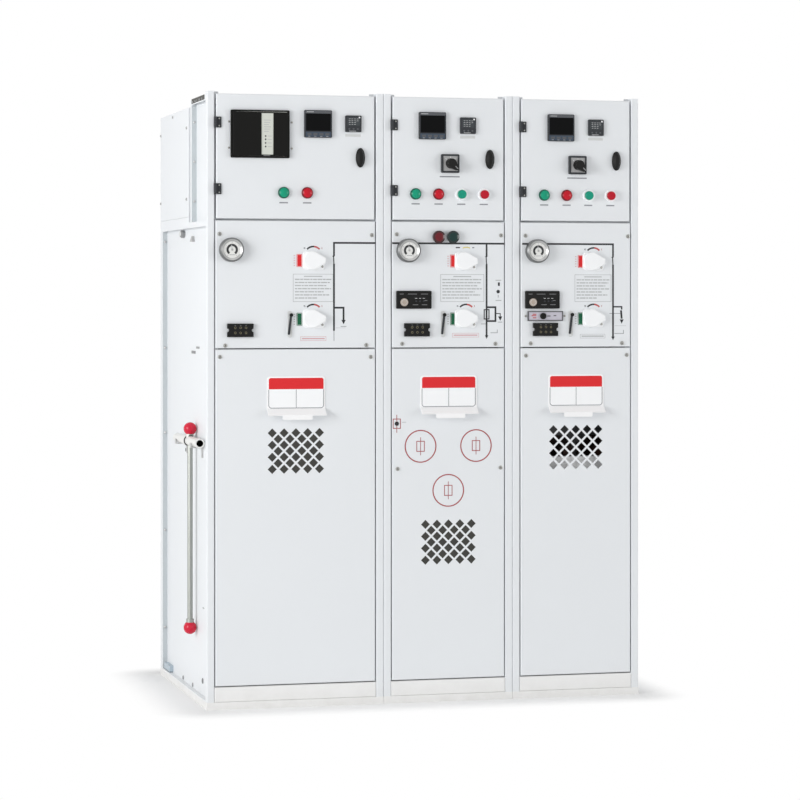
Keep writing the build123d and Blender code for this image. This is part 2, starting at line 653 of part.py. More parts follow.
with BuildPart() as voltage_indicators:
    set_on_front(voltage_indicator, [on_front(n, VOLTAGE_PLACES[n], VOLTAGE_HEIGHT) for n in range(3)])
voltage_indicators.part.label = "voltage_indicators"
export_step(voltage_indicators.part, "parts/voltage_indicators.step")

# Key interlock: a framed plate with a lock cylinder and its keyhole
with BuildPart() as interlock:
    with BuildSketch(Plane.XZ):
        RectangleRounded(KEY_SIZE[0], KEY_SIZE[1], BEZEL_EDGE)
    extrude(amount=KEY_SIZE[2])
    with BuildSketch(Plane.XZ.offset(KEY_SIZE[2])):
        Rectangle(KEY_SIZE[0] - 2 * KEY_FRAME, KEY_SIZE[1] - 2 * KEY_FRAME)
    extrude(amount=-KEY_FRAME_DEPTH, mode=Mode.SUBTRACT)
    with BuildSketch(Plane.XZ.offset(KEY_SIZE[2] - KEY_FRAME_DEPTH)):
        with Locations((KEY_LOCK_PLACE, 0)):
            Circle(KEY_LOCK_RADIUS)
    extrude(amount=KEY_LOCK_OUT)
    chamfer(interlock.edges().group_by(Axis.Y)[0], BEZEL_EDGE)
    with BuildSketch(Plane.XZ.offset(KEY_SIZE[2] - KEY_FRAME_DEPTH + KEY_LOCK_OUT)):
        with Locations((KEY_LOCK_PLACE, 0)):
            Rectangle(KEYHOLE[0], KEYHOLE[1])
    extrude(amount=-KEYHOLE[2], mode=Mode.SUBTRACT)

with BuildPart() as key_interlock:
    set_on_front(interlock, [on_front(2, KEY_PLACE, KEY_HEIGHT)])
key_interlock.part.label = "key_interlock"
export_step(key_interlock.part, "parts/key_interlock.step")

# Slim lever that chooses which shaft is free: a rail, a leaning arm and a knob
with BuildPart() as chooser:
    with BuildSketch(Plane.XZ):
        SlotOverall(INTERLOCK_SIZE[1], INTERLOCK_SIZE[0], rotation=90)
    extrude(amount=INTERLOCK_SIZE[2])
    with BuildSketch(Plane.XZ.offset(INTERLOCK_SIZE[2])):
        with Locations(Location((0, 0), INTERLOCK_TILT)):
            SlotOverall(INTERLOCK_ARM[1], INTERLOCK_ARM[0], rotation=90)
    extrude(amount=INTERLOCK_ARM[2])
    with BuildSketch(Plane.XZ.offset(INTERLOCK_SIZE[2] + INTERLOCK_ARM[2])):
        with Locations(Location((0, 0), INTERLOCK_TILT)):
            with Locations((0, INTERLOCK_KNOB_RISE)):
                Circle(INTERLOCK_KNOB_RADIUS)
    extrude(amount=INTERLOCK_KNOB_OUT)
    fillet(chooser.edges().group_by(Axis.Y)[0], BEZEL_EDGE)

with BuildPart() as interlock_levers:
    set_on_front(chooser, [on_front(n, INTERLOCK_PLACES[n], PANEL_BOTTOM + INTERLOCK_RISE)
                           for n in range(3)])
interlock_levers.part.label = "interlock_levers"
export_step(interlock_levers.part, "parts/interlock_levers.step")

# Operating lever: a rod with a ball at each end, through a long hub tube
with BuildPart() as operating_lever:
    axis_x = LEFT - LEVER_OUT
    axis_y = FRONT + LEVER_DEPTH
    top = HUB_HEIGHT + LEVER_ABOVE_HUB
    bottom = top - LEVER_LENGTH
    neck_radius, neck_length = LEVER_NECK
    with Locations((axis_x, axis_y, (top + bottom) / 2)):
        Cylinder(LEVER_RADIUS, LEVER_LENGTH)
    with Locations((axis_x, axis_y, top), (axis_x, axis_y, bottom)):
        Sphere(BALL_RADIUS)
    with Locations((axis_x, axis_y, top - BALL_RADIUS), (axis_x, axis_y, bottom + BALL_RADIUS)):
        Cylinder(neck_radius, neck_length)
    for radius, start, length in ((HUB_RADIUS, HUB_FRONT, HUB_LENGTH),
                                  (HUB_COLLAR_RADIUS, HUB_COLLAR_FRONT, HUB_COLLAR_LENGTH)):
        with BuildSketch(Plane.XZ.offset(-(FRONT + start))):
            with Locations((axis_x, HUB_HEIGHT)):
                Circle(radius)
        extrude(amount=-length)
    for end, inward in ((HUB_FRONT, -1), (HUB_FRONT + HUB_LENGTH, 1)):
        with BuildSketch(Plane.XZ.offset(-(FRONT + end))):
            with Locations((axis_x, HUB_HEIGHT)):
                Circle(HUB_RADIUS - HUB_WALL)
        extrude(amount=inward * HUB_BORE_DEPTH, mode=Mode.SUBTRACT)
operating_lever.part.label = "operating_lever"
export_step(operating_lever.part, "parts/operating_lever.step")

# Hooks on the side sheet: a plate, a seat under the hub and a lip in front of it
with BuildPart() as lever_hooks:
    seat = HUB_HEIGHT - HUB_RADIUS - RUNNING
    wall = LEFT + RECESS
    lip_inside = LEFT - LEVER_OUT - HUB_RADIUS - RUNNING
    for depth in (HUB_FRONT + HOOK_INSETS[0], HUB_FRONT + HUB_LENGTH - HOOK_INSETS[1]):
        with BuildSketch(Plane.XZ.offset(-(FRONT + depth - HOOK_WIDTH / 2))):
            with BuildLine():
                Polyline((wall, seat), (lip_inside, seat), (lip_inside, seat + HOOK_LIP),
                         (lip_inside - SHEET, seat + HOOK_LIP), (lip_inside - SHEET, seat - SHEET),
                         (wall - SHEET, seat - SHEET), (wall - SHEET, seat - HOOK_PLATE),
                         (wall, seat - HOOK_PLATE), close=True)
            make_face()
        extrude(amount=-HOOK_WIDTH)
lever_hooks.part.label = "lever_hooks"
export_step(lever_hooks.part, "parts/lever_hooks.step")


def pin_x(bay):
    """The hinge pin stands in front of the middle of the door's left gap."""
    return BAYS[bay][0] + POST_WIDTH + DOOR_GAP / 2


# Post halves of the door hinges: two knuckles on a pin, and a leaf in the gap
with BuildPart() as post_hinges:
    for bay in range(3):
        for middle in HINGE_HEIGHTS:
            x = pin_x(bay)
            low = middle - HINGE_LENGTH / 2
            post_face = x - DOOR_GAP / 2
            for z in (low, low + 2 * KNUCKLE):
                with BuildSketch(Plane.XY.offset(z)):
                    with Locations((x, PIN_Y)):
                        Circle(KNUCKLE_RADIUS)
                extrude(amount=KNUCKLE)
                block((post_face, post_face + SHEET), (PIN_Y, FRONT + PAN_DEPTH), (z, z + KNUCKLE))
            block((post_face, post_face + SHEET), (FRONT, FRONT + PAN_DEPTH), (low, low + HINGE_LENGTH))
            with BuildSketch(Plane.XY.offset(low)):
                with Locations((x, PIN_Y)):
                    Circle(PIN_RADIUS)
            extrude(amount=HINGE_LENGTH)
post_hinges.part.label = "post_hinges"
export_step(post_hinges.part, "parts/post_hinges.step")


def door_edges(bay):
    """The left and right edge of a door."""
    x0, x1 = BAYS[bay]
    return (x0 + POST_WIDTH + DOOR_GAP, x1 - POST_WIDTH - DOOR_GAP)


def latch_spot(bay):
    """The latch's axis on the front plane."""
    return (door_edges(bay)[1] - LATCH_FROM_EDGE, DOOR_TOP - LATCH_DROP)


def panel_case(size, body):
    """A moulded bezel with rounded corners in front of a sheet, and its case behind it."""
    with BuildSketch(Plane.XZ) as front:
        RectangleRounded(size[0], size[1], BEZEL_CORNER)
    extrude(front.sketch, amount=size[2])
    chamfer(edges().group_by(Axis.Y)[0], BEZEL_EDGE)
    with BuildSketch(Plane.XZ) as behind:
        Rectangle(body[0], body[1])
    extrude(behind.sketch, amount=-body[2])


def sunk(size, out, place=(0, 0)):
    """A rectangular recess in a face that stands a distance out."""
    with BuildSketch(Plane.XZ.offset(out)) as window:
        with Locations(place):
            Rectangle(size[0], size[1])
    extrude(window.sketch, amount=-size[2], mode=Mode.SUBTRACT)


# Protection relay: a bezel, a raised cover and a sunk strip for its lamps
with BuildPart() as relay_form:
    panel_case(RELAY_SIZE, RELAY_BODY)
    with BuildSketch(Plane.XZ.offset(RELAY_SIZE[2])):
        RectangleRounded(RELAY_SIZE[0] - 2 * RELAY_COVER_INSET, RELAY_SIZE[1] - 2 * RELAY_COVER_INSET,
                         BEZEL_CORNER)
    extrude(amount=RELAY_COVER_OUT)
    chamfer(relay_form.edges().group_by(Axis.Y)[0], BEZEL_EDGE)
    sunk(RELAY_STRIP, RELAY_SIZE[2] + RELAY_COVER_OUT, (RELAY_STRIP_PLACE, 0))

# Meter: a sunk screen over a row of keys
with BuildPart() as meter:
    panel_case(METER_SIZE, METER_BODY)
    sunk(METER_SCREEN, METER_SIZE[2], (0, METER_SCREEN_RISE))
    with BuildSketch(Plane.XZ.offset(METER_SIZE[2])):
        with Locations((0, -METER_KEY_DROP)):
            with GridLocations(METER_KEY_PITCH, METER_KEY_PITCH, METER_KEYS, 1):
                Rectangle(METER_KEY[0], METER_KEY[1])
    extrude(amount=METER_KEY[2])

# Temperature controller: a sunk screen over round keys
with BuildPart() as controller:
    panel_case(CONTROLLER_SIZE, CONTROLLER_BODY)
    sunk(CONTROLLER_SCREEN, CONTROLLER_SIZE[2], (0, CONTROLLER_SCREEN_RISE))
    with BuildSketch(Plane.XZ.offset(CONTROLLER_SIZE[2])):
        with Locations((0, -CONTROLLER_KEY_DROP)):
            with GridLocations(CONTROLLER_KEY_PITCH, CONTROLLER_KEY_PITCH, CONTROLLER_KEYS, 1):
                Circle(CONTROLLER_KEY_RADIUS)
    extrude(amount=METER_KEY[2])

# Selector switch plate with a sunk scale face
with BuildPart() as selector_plate:
    panel_case(SELECTOR_SIZE, SELECTOR_BODY)
    sunk(SELECTOR_DISH, SELECTOR_SIZE[2])

# Selector handle: a collar, and a grip that narrows to a pointer
with BuildPart() as selector_grip:
    with BuildSketch(Plane.XZ.offset(SELECTOR_START)):
        Circle(SELECTOR_COLLAR[0])
    extrude(amount=SELECTOR_COLLAR[1])
    with BuildSketch(Plane.XZ.offset(SELECTOR_START + SELECTOR_COLLAR[1])):
        Circle(SELECTOR_GRIP_RADIUS)
        with Locations(Location((0, 0), SELECTOR_TURN)):
            with Locations((SELECTOR_POINTER, 0)):
                Circle(SELECTOR_TIP_RADIUS)
        make_hull()
    extrude(amount=SELECTOR_GRIP_OUT)
    fillet(selector_grip.edges().group_by(Axis.Y)[0], SELECTOR_GRIP_ROUND)

# Signal lamp: a rim and a domed lens on a threaded body
with BuildPart() as lamp:
    with BuildSketch(TURNED):
        with BuildLine():
            shoulder = (LENS_RADIUS, LAMP_RIM + LENS_WALL)
            crown = (0, LAMP_RIM + LENS_WALL + LENS_CROWN)
            Polyline(crown, (0, -DEVICE_DEPTH), (SHAFT_22_RADIUS, -DEVICE_DEPTH),
                     (SHAFT_22_RADIUS, 0), (LAMP_RADIUS, 0), (LAMP_RADIUS, LAMP_RIM),
                     (LENS_RADIUS, LAMP_RIM), shoulder)
            RadiusArc(shoulder, crown, -(LENS_RADIUS ** 2 + LENS_CROWN ** 2) / (2 * LENS_CROWN))
        make_face()
    revolve(axis=Axis.Y)

# Push-button bezel: a rounded ring round the pocket that the button slides in
with BuildPart() as button_bezel:
    with BuildSketch(TURNED) as profile:
        with BuildLine():
            pocket = BUTTON_RADIUS + RUNNING
            Polyline((0, BEZEL_FLOOR), (0, -DEVICE_DEPTH), (SHAFT_22_RADIUS, -DEVICE_DEPTH),
                     (SHAFT_22_RADIUS, 0), (BEZEL_RADIUS, 0), (BEZEL_RADIUS, BEZEL_OUT),
                     (pocket, BEZEL_OUT), (pocket, BEZEL_FLOOR), close=True)
        make_face()
        fillet(profile.vertices().group_by(Axis.Y)[-1], radius=BEZEL_EDGE)
    revolve(axis=Axis.Y)

# Push-button: a cap with a shallow dish for the finger
with BuildPart() as button_cap:
    with BuildSketch(TURNED):
        with BuildLine():
            rim = (BUTTON_RADIUS - BEZEL_EDGE, BUTTON_OUT)
            middle = (0, BUTTON_OUT - BUTTON_DISH)
            Polyline(middle, (0, BUTTON_START), (BUTTON_RADIUS, BUTTON_START),
                     (BUTTON_RADIUS, BUTTON_OUT - BEZEL_EDGE), rim)
            RadiusArc(rim, middle, (rim[0] ** 2 + BUTTON_DISH ** 2) / (2 * BUTTON_DISH))
        make_face()
    revolve(axis=Axis.Y)

# Trip or close button: a domed head on a shaft through the panel
with BuildPart() as mech_cap:
    with BuildSketch(TURNED):
        with BuildLine():
            stem = SHAFT_22_RADIUS - RUNNING
            shoulder = (MECH_BUTTON_RADIUS, MECH_BUTTON_START + MECH_BUTTON_WALL)
            crown = (0, MECH_BUTTON_START + MECH_BUTTON_WALL + MECH_BUTTON_CROWN)
            Polyline(crown, (0, -SHEET - MECH_BUTTON_SHAFT), (stem, -SHEET - MECH_BUTTON_SHAFT),
                     (stem, MECH_BUTTON_START), (MECH_BUTTON_RADIUS, MECH_BUTTON_START), shoulder)
            RadiusArc(shoulder, crown,
                      -(MECH_BUTTON_RADIUS ** 2 + MECH_BUTTON_CROWN ** 2) / (2 * MECH_BUTTON_CROWN))
        make_face()
    revolve(axis=Axis.Y)

# Oval quarter-turn latch: a rim, a crown that rises to a ridge, its shaft and a short cam
with BuildPart() as latch_form:
    with BuildSketch(Plane.XZ.offset(RUNNING)):
        Ellipse(LATCH_WIDTH / 2, LATCH_LENGTH / 2)
    extrude(amount=LATCH_RIM)
    with BuildSketch(Plane.XZ.offset(RUNNING + LATCH_RIM)):
        Ellipse(LATCH_WIDTH / 2, LATCH_LENGTH / 2)
    with BuildSketch(Plane.XZ.offset(RUNNING + LATCH_RIM + LATCH_CROWN)):
        Ellipse(LATCH_RIDGE[0] / 2, LATCH_RIDGE[1] / 2)
    loft()
    fillet(latch_form.edges().group_by(Axis.Y)[0], BEZEL_EDGE)
    cam_front = SHEET + LATCH_CAM_GAP
    cam_rear = cam_front + LATCH_CAM_THICK
    with BuildSketch(Plane.XZ.offset(RUNNING)):
        Circle(LATCH_SHAFT_RADIUS)
    extrude(amount=-(RUNNING + cam_rear))
    block((-LATCH_SHAFT_RADIUS, LATCH_CAM_LENGTH), (cam_front, cam_rear),
          (-LATCH_CAM_HALF, LATCH_CAM_HALF))

for bay in range(3):
    number = bay + 1
    left, right = door_edges(bay)
    relays = [on_front(0, RELAY_PLACE, DOOR_TOP - RELAY_DROP)] if bay == 0 else []
    meters = [on_front(bay, METER_PLACES[bay], DOOR_TOP - METER_DROP)]
    controllers = [(right - CONTROLLER_FROM_EDGE[bay], DOOR_TOP - CONTROLLER_DROP)]
    lamps = [on_front(bay, place, LAMP_HEIGHT) for place in LAMP_PLACES[bay]]
    selectors = [on_front(bay, SELECTOR_PLACE, DOOR_TOP - SELECTOR_DROP)] if bay else []
    buttons = [on_front(bay, place, LAMP_HEIGHT) for place in BUTTON_PLACES] if bay else []

    # Door sheet with a cut-out for each instrument
    with BuildPart() as door:
        pan((left, right), (DOOR_BOTTOM, DOOR_TOP), PAN_DEPTH)
        with BuildSketch(FRONT_PLANE):
            for places, body in ((relays, RELAY_BODY), (meters, METER_BODY),
                                 (controllers, CONTROLLER_BODY), (selectors, SELECTOR_BODY)):
                for place in places:
                    with Locations(place):
                        Rectangle(body[0] + 2 * FIT, body[1] + 2 * FIT)
            for place in lamps + buttons:
                with Locations(place):
                    Circle(SHAFT_22_RADIUS + FIT)
            with Locations(latch_spot(bay)):
                Circle(LATCH_SHAFT_RADIUS + RUNNING)
        extrude(amount=-SHEET, mode=Mode.SUBTRACT)
    door.part.label = f"door_{number}"
    export_step(door.part, f"parts/door_{number}.step")

    # Door halves of the hinges: the middle knuckle and a leaf on the sheet
    with BuildPart() as door_hinges:
        for middle in HINGE_HEIGHTS:
            x = pin_x(bay)
            low = middle - KNUCKLE / 2 + KNUCKLE_GAP
            tall = KNUCKLE - 2 * KNUCKLE_GAP
            leaf = x + KNUCKLE_RADIUS + PIN_PLAY + KNUCKLE_GAP
            block((leaf, leaf + HINGE_LEAF), (FRONT - HINGE_LEAF_THICK, FRONT),
                  (middle - HINGE_LENGTH / 2, middle + HINGE_LENGTH / 2))
            corners = edges(Select.LAST).filter_by(Axis.Y).group_by(Axis.X)[-1]
            fillet(corners, HINGE_LEAF_ROUND)
            block((x, leaf), (FRONT - HINGE_LEAF_THICK, FRONT), (low, low + tall))
            with BuildSketch(Plane.XY.offset(low)):
                with Locations((x, PIN_Y)):
                    Circle(KNUCKLE_RADIUS)
            extrude(amount=tall)
            with BuildSketch(Plane.XY.offset(low)):
                with Locations((x, PIN_Y)):
                    Circle(PIN_RADIUS + PIN_PLAY)
            extrude(amount=tall, mode=Mode.SUBTRACT)
    door_hinges.part.label = f"door_hinges_{number}"
    export_step(door_hinges.part, f"parts/door_hinges_{number}.step")

    with BuildPart() as latch:
        set_on_front(latch_form, [latch_spot(bay)])
    latch.part.label = f"latch_{number}"
    export_step(latch.part, f"parts/latch_{number}.step")

    with BuildPart() as panel_meters:
        set_on_front(meter, meters)
        set_on_front(controller, controllers)
    panel_meters.part.label = f"panel_meters_{number}"
    export_step(panel_meters.part, f"parts/panel_meters_{number}.step")

    with BuildPart() as lamp_pair:
        set_on_front(lamp, lamps)
    lamp_pair.part.label = f"lamps_{number}"
    export_step(lamp_pair.part, f"parts/lamps_{number}.step")

    if bay == 0:
        with BuildPart() as relay:
            set_on_front(relay_form, relays)
        relay.part.label = "relay"
        export_step(relay.part, "parts/relay.step")
        continue

    with BuildPart() as selector_base:
        set_on_front(selector_plate, selectors)
    selector_base.part.label = f"selector_base_{number}"
    export_step(selector_base.part, f"parts/selector_base_{number}.step")

    with BuildPart() as selector_handle:
        set_on_front(selector_grip, selectors)
    selector_handle.part.label = f"selector_handle_{number}"
    export_step(selector_handle.part, f"parts/selector_handle_{number}.step")

    with BuildPart() as button_bezels:
        set_on_front(button_bezel, buttons)
    button_bezels.part.label = f"button_bezels_{number}"
    export_step(button_bezels.part, f"parts/button_bezels_{number}.step")

    for colour, place in zip(("green", "red"), buttons):
        with BuildPart() as button:
            set_on_front(button_cap, [place])
        button.part.label = f"{colour}_button_{number}"
        export_step(button.part, f"parts/{colour}_button_{number}.step")

# Buttons that trip and close the breaker, on the second mechanism panel
for name, place in zip(("trip_button", "close_button"), MECH_BUTTON_PLACES):
    with BuildPart() as mech_button:
        set_on_front(mech_cap, [on_front(1, place, PANEL_TOP - MECH_BUTTON_DROP)])
    mech_button.part.label = name
    export_step(mech_button.part, f"parts/{name}.step")
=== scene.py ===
"""Dresses a row of three gas-insulated switchgear cubicles, in metres.

X runs along the row, Y from the front to the rear, Z up from the floor.
"""
import math

import bmesh
import bpy
from bpy.props import FloatProperty, FloatVectorProperty, PointerProperty
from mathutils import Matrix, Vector


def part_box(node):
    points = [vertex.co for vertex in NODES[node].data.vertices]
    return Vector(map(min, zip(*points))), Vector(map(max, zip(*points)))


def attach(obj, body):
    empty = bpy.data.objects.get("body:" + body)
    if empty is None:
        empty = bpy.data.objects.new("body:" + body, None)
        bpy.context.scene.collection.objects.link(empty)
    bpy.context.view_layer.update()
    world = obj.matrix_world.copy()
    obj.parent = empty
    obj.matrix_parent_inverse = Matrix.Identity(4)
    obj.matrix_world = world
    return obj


bl_info = {
    "name": "Switchgear Row",
    "version": (1, 0, 0),
    "blender": (4, 5, 0),
    "location": "3D View > Sidebar > Switchgear",
    "description": "Finishes, prints and fittings for a row of gas-insulated switchgear cubicles",
    "category": "Object",
}

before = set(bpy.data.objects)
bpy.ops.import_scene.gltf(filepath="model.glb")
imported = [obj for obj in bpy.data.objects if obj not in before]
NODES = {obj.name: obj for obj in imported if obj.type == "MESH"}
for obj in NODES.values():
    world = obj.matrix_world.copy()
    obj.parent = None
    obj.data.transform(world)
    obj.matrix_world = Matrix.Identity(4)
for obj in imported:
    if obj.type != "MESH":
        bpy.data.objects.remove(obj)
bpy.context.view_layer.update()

MM = 0.001
ROW_LOW, ROW_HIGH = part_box("base_frame")
LEFT, FRONT, REAR = ROW_LOW.x, ROW_LOW.y, ROW_HIGH.y


def span(node):
    """Left, right, bottom and top of a CAD piece in mm, from the row's left side and the floor."""
    low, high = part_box(node)
    return (low.x - LEFT) / MM, (high.x - LEFT) / MM, low.z / MM, high.z / MM


# The cubicles and their sheets, in mm
BAYS = range(3)
STARTS = (0, 500, 875)
ENDS = (500, 875, 1250)
RECESS = 14
POST = 21
BOX_FLANGE = 235
REAR_FLANGE = (REAR - FRONT) / MM - 40

# The camera stands level, in front of the row and to its left; all lamps point at one place
CAMERA_PLACE = (-1.99365, -7.8365, 1.129)
CAMERA_YAW = math.radians(14.472)
FOCAL_PIXELS = 2762.5
PICTURE_PIXELS = 800
HORIZON_PIXEL = 298.7
SENSOR_MM = 36
LAMP_TARGET = (0.1, 0, 0.8)
SOFT_BOX = (2.8, 2.6)
TOP_BOX = (4.0, 4.0)
AMBIENT_LIGHT = 0.42
SHADOW_REACH = 0.17
WHITE = (1, 1, 1, 1)

# Thickness of a printed line, in mm
PRINT = 0.25

# Heights above the floor, and places from each cubicle's left edge, in mm
BUS_HEIGHT = 1284
RED_LABELS = (251.7, 192.7, 193.7)
RED_LABEL_LOW = 1217
GREEN_LABEL_LOW = 1054.5
TEXT_FRAMES = ((242, 355), (164.7, 290.7), (184.7, 292.7))
TEXT_LOW, TEXT_HIGH = 1121, 1197
ROW_SHORTENINGS = (0, 3, 12, 1, 22, 6, 38)
WORD_LENGTHS = (13, 8, 17, 6, 11)
NOTE_STRIPS = ((263, 335, 1013), (198.7, 275.7, 1021), (200.7, 274.7, 1017))
COVER_CENTRES = (294, 231, 233)
COVER_HEIGHTS = (1235, 1074)
ARC_CENTRES = (299, 238.7, 240.2)
ARC_TOPS = (1275.5, 1115)
FEEDERS = (357.7, 298.7, 298.7)
GAUGES = (67, 69.5, 71)
GAUGE_HEIGHT = span("gauges")[2] + 33.5
LAMPS = ((215, 281.5), (92, 158.5), (93.5, 160))
BUTTONS = (224.5, 290.5)
LAMP_HEIGHT = span("lamps_1")[2] + 16
SELECTOR_PLACE = 191
SELECTOR_LABEL_LOW = 1469.5
FAULT_INDICATORS = ((1, 86), (2, 87))
VOLTAGE_INDICATORS = (92.5, 95, 96)
FUSE_RINGS = ((106.4, 716), (267.7, 716), (186.8, 591.4))
SMALL_FUSE = (37.7, 780)
RELAY_LAMPS = (1577, 1568, 1558, 1548)
RELAY_TEXT_TOP = 1621
RELAY_SCREWS = ((61, 1616), (61, 1544), (238, 1616), (238, 1544))
PANEL_SCREWS = (
    ((35, 1307), (466, 1306), (51, 1000), (450, 1000), (36, 969), (462.7, 967)),
    ((37.5, 1308.7), (341.2, 1307.5), (53.2, 1003), (324.7, 1002), (40.1, 653.7), (339.7, 653)),
    ((38.2, 1307), (343.7, 1306.7), (53.7, 1002.5), (325.7, 1002.5), (39.7, 968), (339.7, 968.7)),
)
BEHIND_DOOR = -1

# Heights on the sides and the rear, and distances behind the front, in mm
LEVER_DEPTH = 229
HUB_HEIGHT = 728
KNOB_DEPTH, KNOB_HEIGHT = 436, 1316
# A dark strip under the roof rail between these heights is painted shade of the gap there.
GAP_SHADE_LOW, GAP_SHADE_HIGH = 1679, 1692
SIDE_SCREWS = ((543.5, 1661), (313.7, 1616), (754, 1618), (313.7, 1412.7), (754, 1414))
BOX_BOLTS = (1627, 1516, 1404)
REAR_BOLTS = (1299, 982, 728, 436, 145)
REAR_PANEL_SCREWS = (60, 480, 900, 1310)
REAR_BOX_SCREWS = (1400, 1640)


def size_property(name, description, default):
    return FloatProperty(name=name, description=description, subtype="DISTANCE", unit="LENGTH",
                         default=default)


def colour_property(name, description, default):
    return FloatVectorProperty(name=name, description=description, subtype="COLOR", min=0, max=1,
                               default=default)


class RowSizes(bpy.types.PropertyGroup):
    """Sizes of the prints and fittings."""

    print_line: size_property("Mimic Line", "Width of the printed mimic diagram's lines", 0.005)
    screw_radius: size_property("Screw Radius", "Radius of the panel screws' heads", 0.0052)
    sign_width: size_property("Sign Width", "Width of the plate on each cover's handle", 0.157)
    sign_height: size_property("Sign Height", "Height of the plate on each cover's handle", 0.085)
    ring_radius: size_property("Fuse Ring Radius", "Outer radius of the red rings round the fuse symbols",
                               0.046)
    ring_line: size_property("Fuse Ring Line", "Width of the red rings' lines", 0.0032)


class RowColours(bpy.types.PropertyGroup):
    """Colours of the paints, plastics and inks."""

    paint: colour_property("Cubicle Paint", "Light grey powder coat of the cubicles",
                           (0.818, 0.842, 0.865))
    # The flange colour is a darker, bluer copy of the cubicle paint: painted shade on the faces turned to
    # the front inside the side recess.
    flange: colour_property("Flange Paint", "Bluer grey of the flanges turned to the front",
                            (0.52, 0.56, 0.58))
    # The plinth paint is lighter than the cubicle paint: partly its own paint, partly painted light that the
    # floor throws on the bottom.
    plinth: colour_property("Plinth Paint", "Slightly warmer grey of the kick plates and the base",
                            (0.9, 0.9, 0.895))
    handle_paint: colour_property("Handle Paint", "White powder coat of the cover handles",
                                  (0.975, 0.975, 0.98))
    ink: colour_property("Dark Ink", "Ink of the mimic diagram", (0.03, 0.031, 0.034))
    grey_ink: colour_property("Grey Ink", "Ink of the frames", (0.27, 0.28, 0.3))
    fine_ink: colour_property("Fine Ink", "Ink of the fine rules", (0.45, 0.46, 0.47))
    red_ink: colour_property("Red Ink", "Ink of the fuse rings", (0.38, 0.07, 0.075))
    pale_red_ink: colour_property("Pale Red Ink", "Ink of the notes and of the marks by the red labels",
                                  (0.66, 0.4, 0.42))
    yellow_ink: colour_property("Yellow Ink", "Ink of the spring arc", (0.7, 0.6, 0.22))
    red_plate: colour_property("Red Plate", "Red of the labels and the sign headers",
                               (0.74, 0.03, 0.035))
    green_plate: colour_property("Green Plate", "Green of the earthing labels", (0.012, 0.12, 0.055))
    lamp_green: colour_property("Green Lens", "Green of the signal lamps", (0.003, 0.3, 0.17))
    lamp_red: colour_property("Red Lens", "Red of the signal lamps", (0.53, 0.004, 0.018))
    trip_red: colour_property("Trip Button", "Dark red of the trip button", (0.14, 0.006, 0.012))
    close_green: colour_property("Close Button", "Dark green of the close button",
                                 (0.003, 0.032, 0.028))
    ball_red: colour_property("Lever Balls", "Red plastic of the lever's balls", (0.6, 0.012, 0.04))


# Nodes and shader groups

def feed(tree, node, inputs):
    """Lead sockets or plain values to a node's inputs."""
    for name, value in inputs.items():
        if isinstance(value, bpy.types.NodeSocket):
            tree.links.new(value, node.inputs[name])
        else:
            node.inputs[name].default_value = value


def add_node(tree, kind, inputs=None, **settings):
    node = tree.nodes.new("ShaderNode" + kind)
    for name, value in settings.items():
        setattr(node, name, value)
    feed(tree, node, inputs or {})
    return node


def math_node(tree, operation, first, second=0.0, clamp=False):
    node = add_node(tree, "Math", {0: first, 1: second}, operation=operation, use_clamp=clamp)
    return node.outputs[0]


def noise(tree, place, scale, detail, roughness):
    inputs = {"Vector": place, "Scale": scale, "Detail": detail, "Roughness": roughness}
    return add_node(tree, "TexNoise", inputs).outputs["Fac"]


def mixed(tree, first, share, second):
    """Two grey patterns, each times its share; the shares add up to one."""
    return math_node(tree, "ADD", math_node(tree, "MULTIPLY", first, share),
                     math_node(tree, "MULTIPLY", second, round(1 - share, 3)))


def tinted(tree, colour, factor):
    """A colour times a grey factor."""
    inputs = {"Factor": 1, "A": colour, "B": factor}
    return add_node(tree, "Mix", inputs, data_type="RGBA", blend_type="MULTIPLY").outputs["Result"]


def object_place(tree):
    return add_node(tree, "TexCoord").outputs["Object"]


def shader_group(name, inputs, outputs, fill):
    """The shader group of that name, made and filled with nodes when it is first asked for."""
    group = bpy.data.node_groups.get(name)
    if group:
        return group
    group = bpy.data.node_groups.new(name, "ShaderNodeTree")
    kinds = {1: "NodeSocketFloat", 3: "NodeSocketVector", 4: "NodeSocketColor"}
    for side, sockets in (("INPUT", inputs), ("OUTPUT", outputs)):
        for label, value in sockets.items():
            size = 1 if isinstance(value, float) else len(value)
            socket = group.interface.new_socket(label, in_out=side, socket_type=kinds[size])
            socket.default_value = value
    given = group.nodes.new("NodeGroupInput").outputs
    feed(group, group.nodes.new("NodeGroupOutput"), fill(group, given))
    return group


GREY = (0.8, 0.8, 0.8, 1)


def coated_surface():
    """Fine texture of a powder coat or of moulded plastic, with a little cloudiness."""
    def fill(group, given):
        place = object_place(group)
        grain = noise(group, place, math_node(group, "DIVIDE", 1.0, given["Grain Size"]), 2.0, 0.6)
        clouds = noise(group, place, 2.3, 3.0, 0.55)
        smears = noise(group, place, 38.0, 4.0, 0.6)
        centred = math_node(group, "SUBTRACT", mixed(group, clouds, 0.7, grain), 0.5)
        factor = math_node(group, "ADD", math_node(group, "MULTIPLY", centred, given["Cloudiness"]), 1.0)
        swing = math_node(group, "MULTIPLY", math_node(group, "SUBTRACT", smears, 0.5),
                          given["Roughness Spread"])
        return {"Colour": tinted(group, given["Colour"], factor),
                "Roughness": math_node(group, "ADD", given["Roughness"], swing, True),
                "Height": grain}

    return shader_group(
        "coated_surface",
        {"Colour": GREY, "Grain Size": 0.001, "Cloudiness": 0.03, "Roughness": 0.5,
         "Roughness Spread": 0.08},
        {"Colour": GREY, "Roughness": 0.5, "Height": 0.0}, fill)


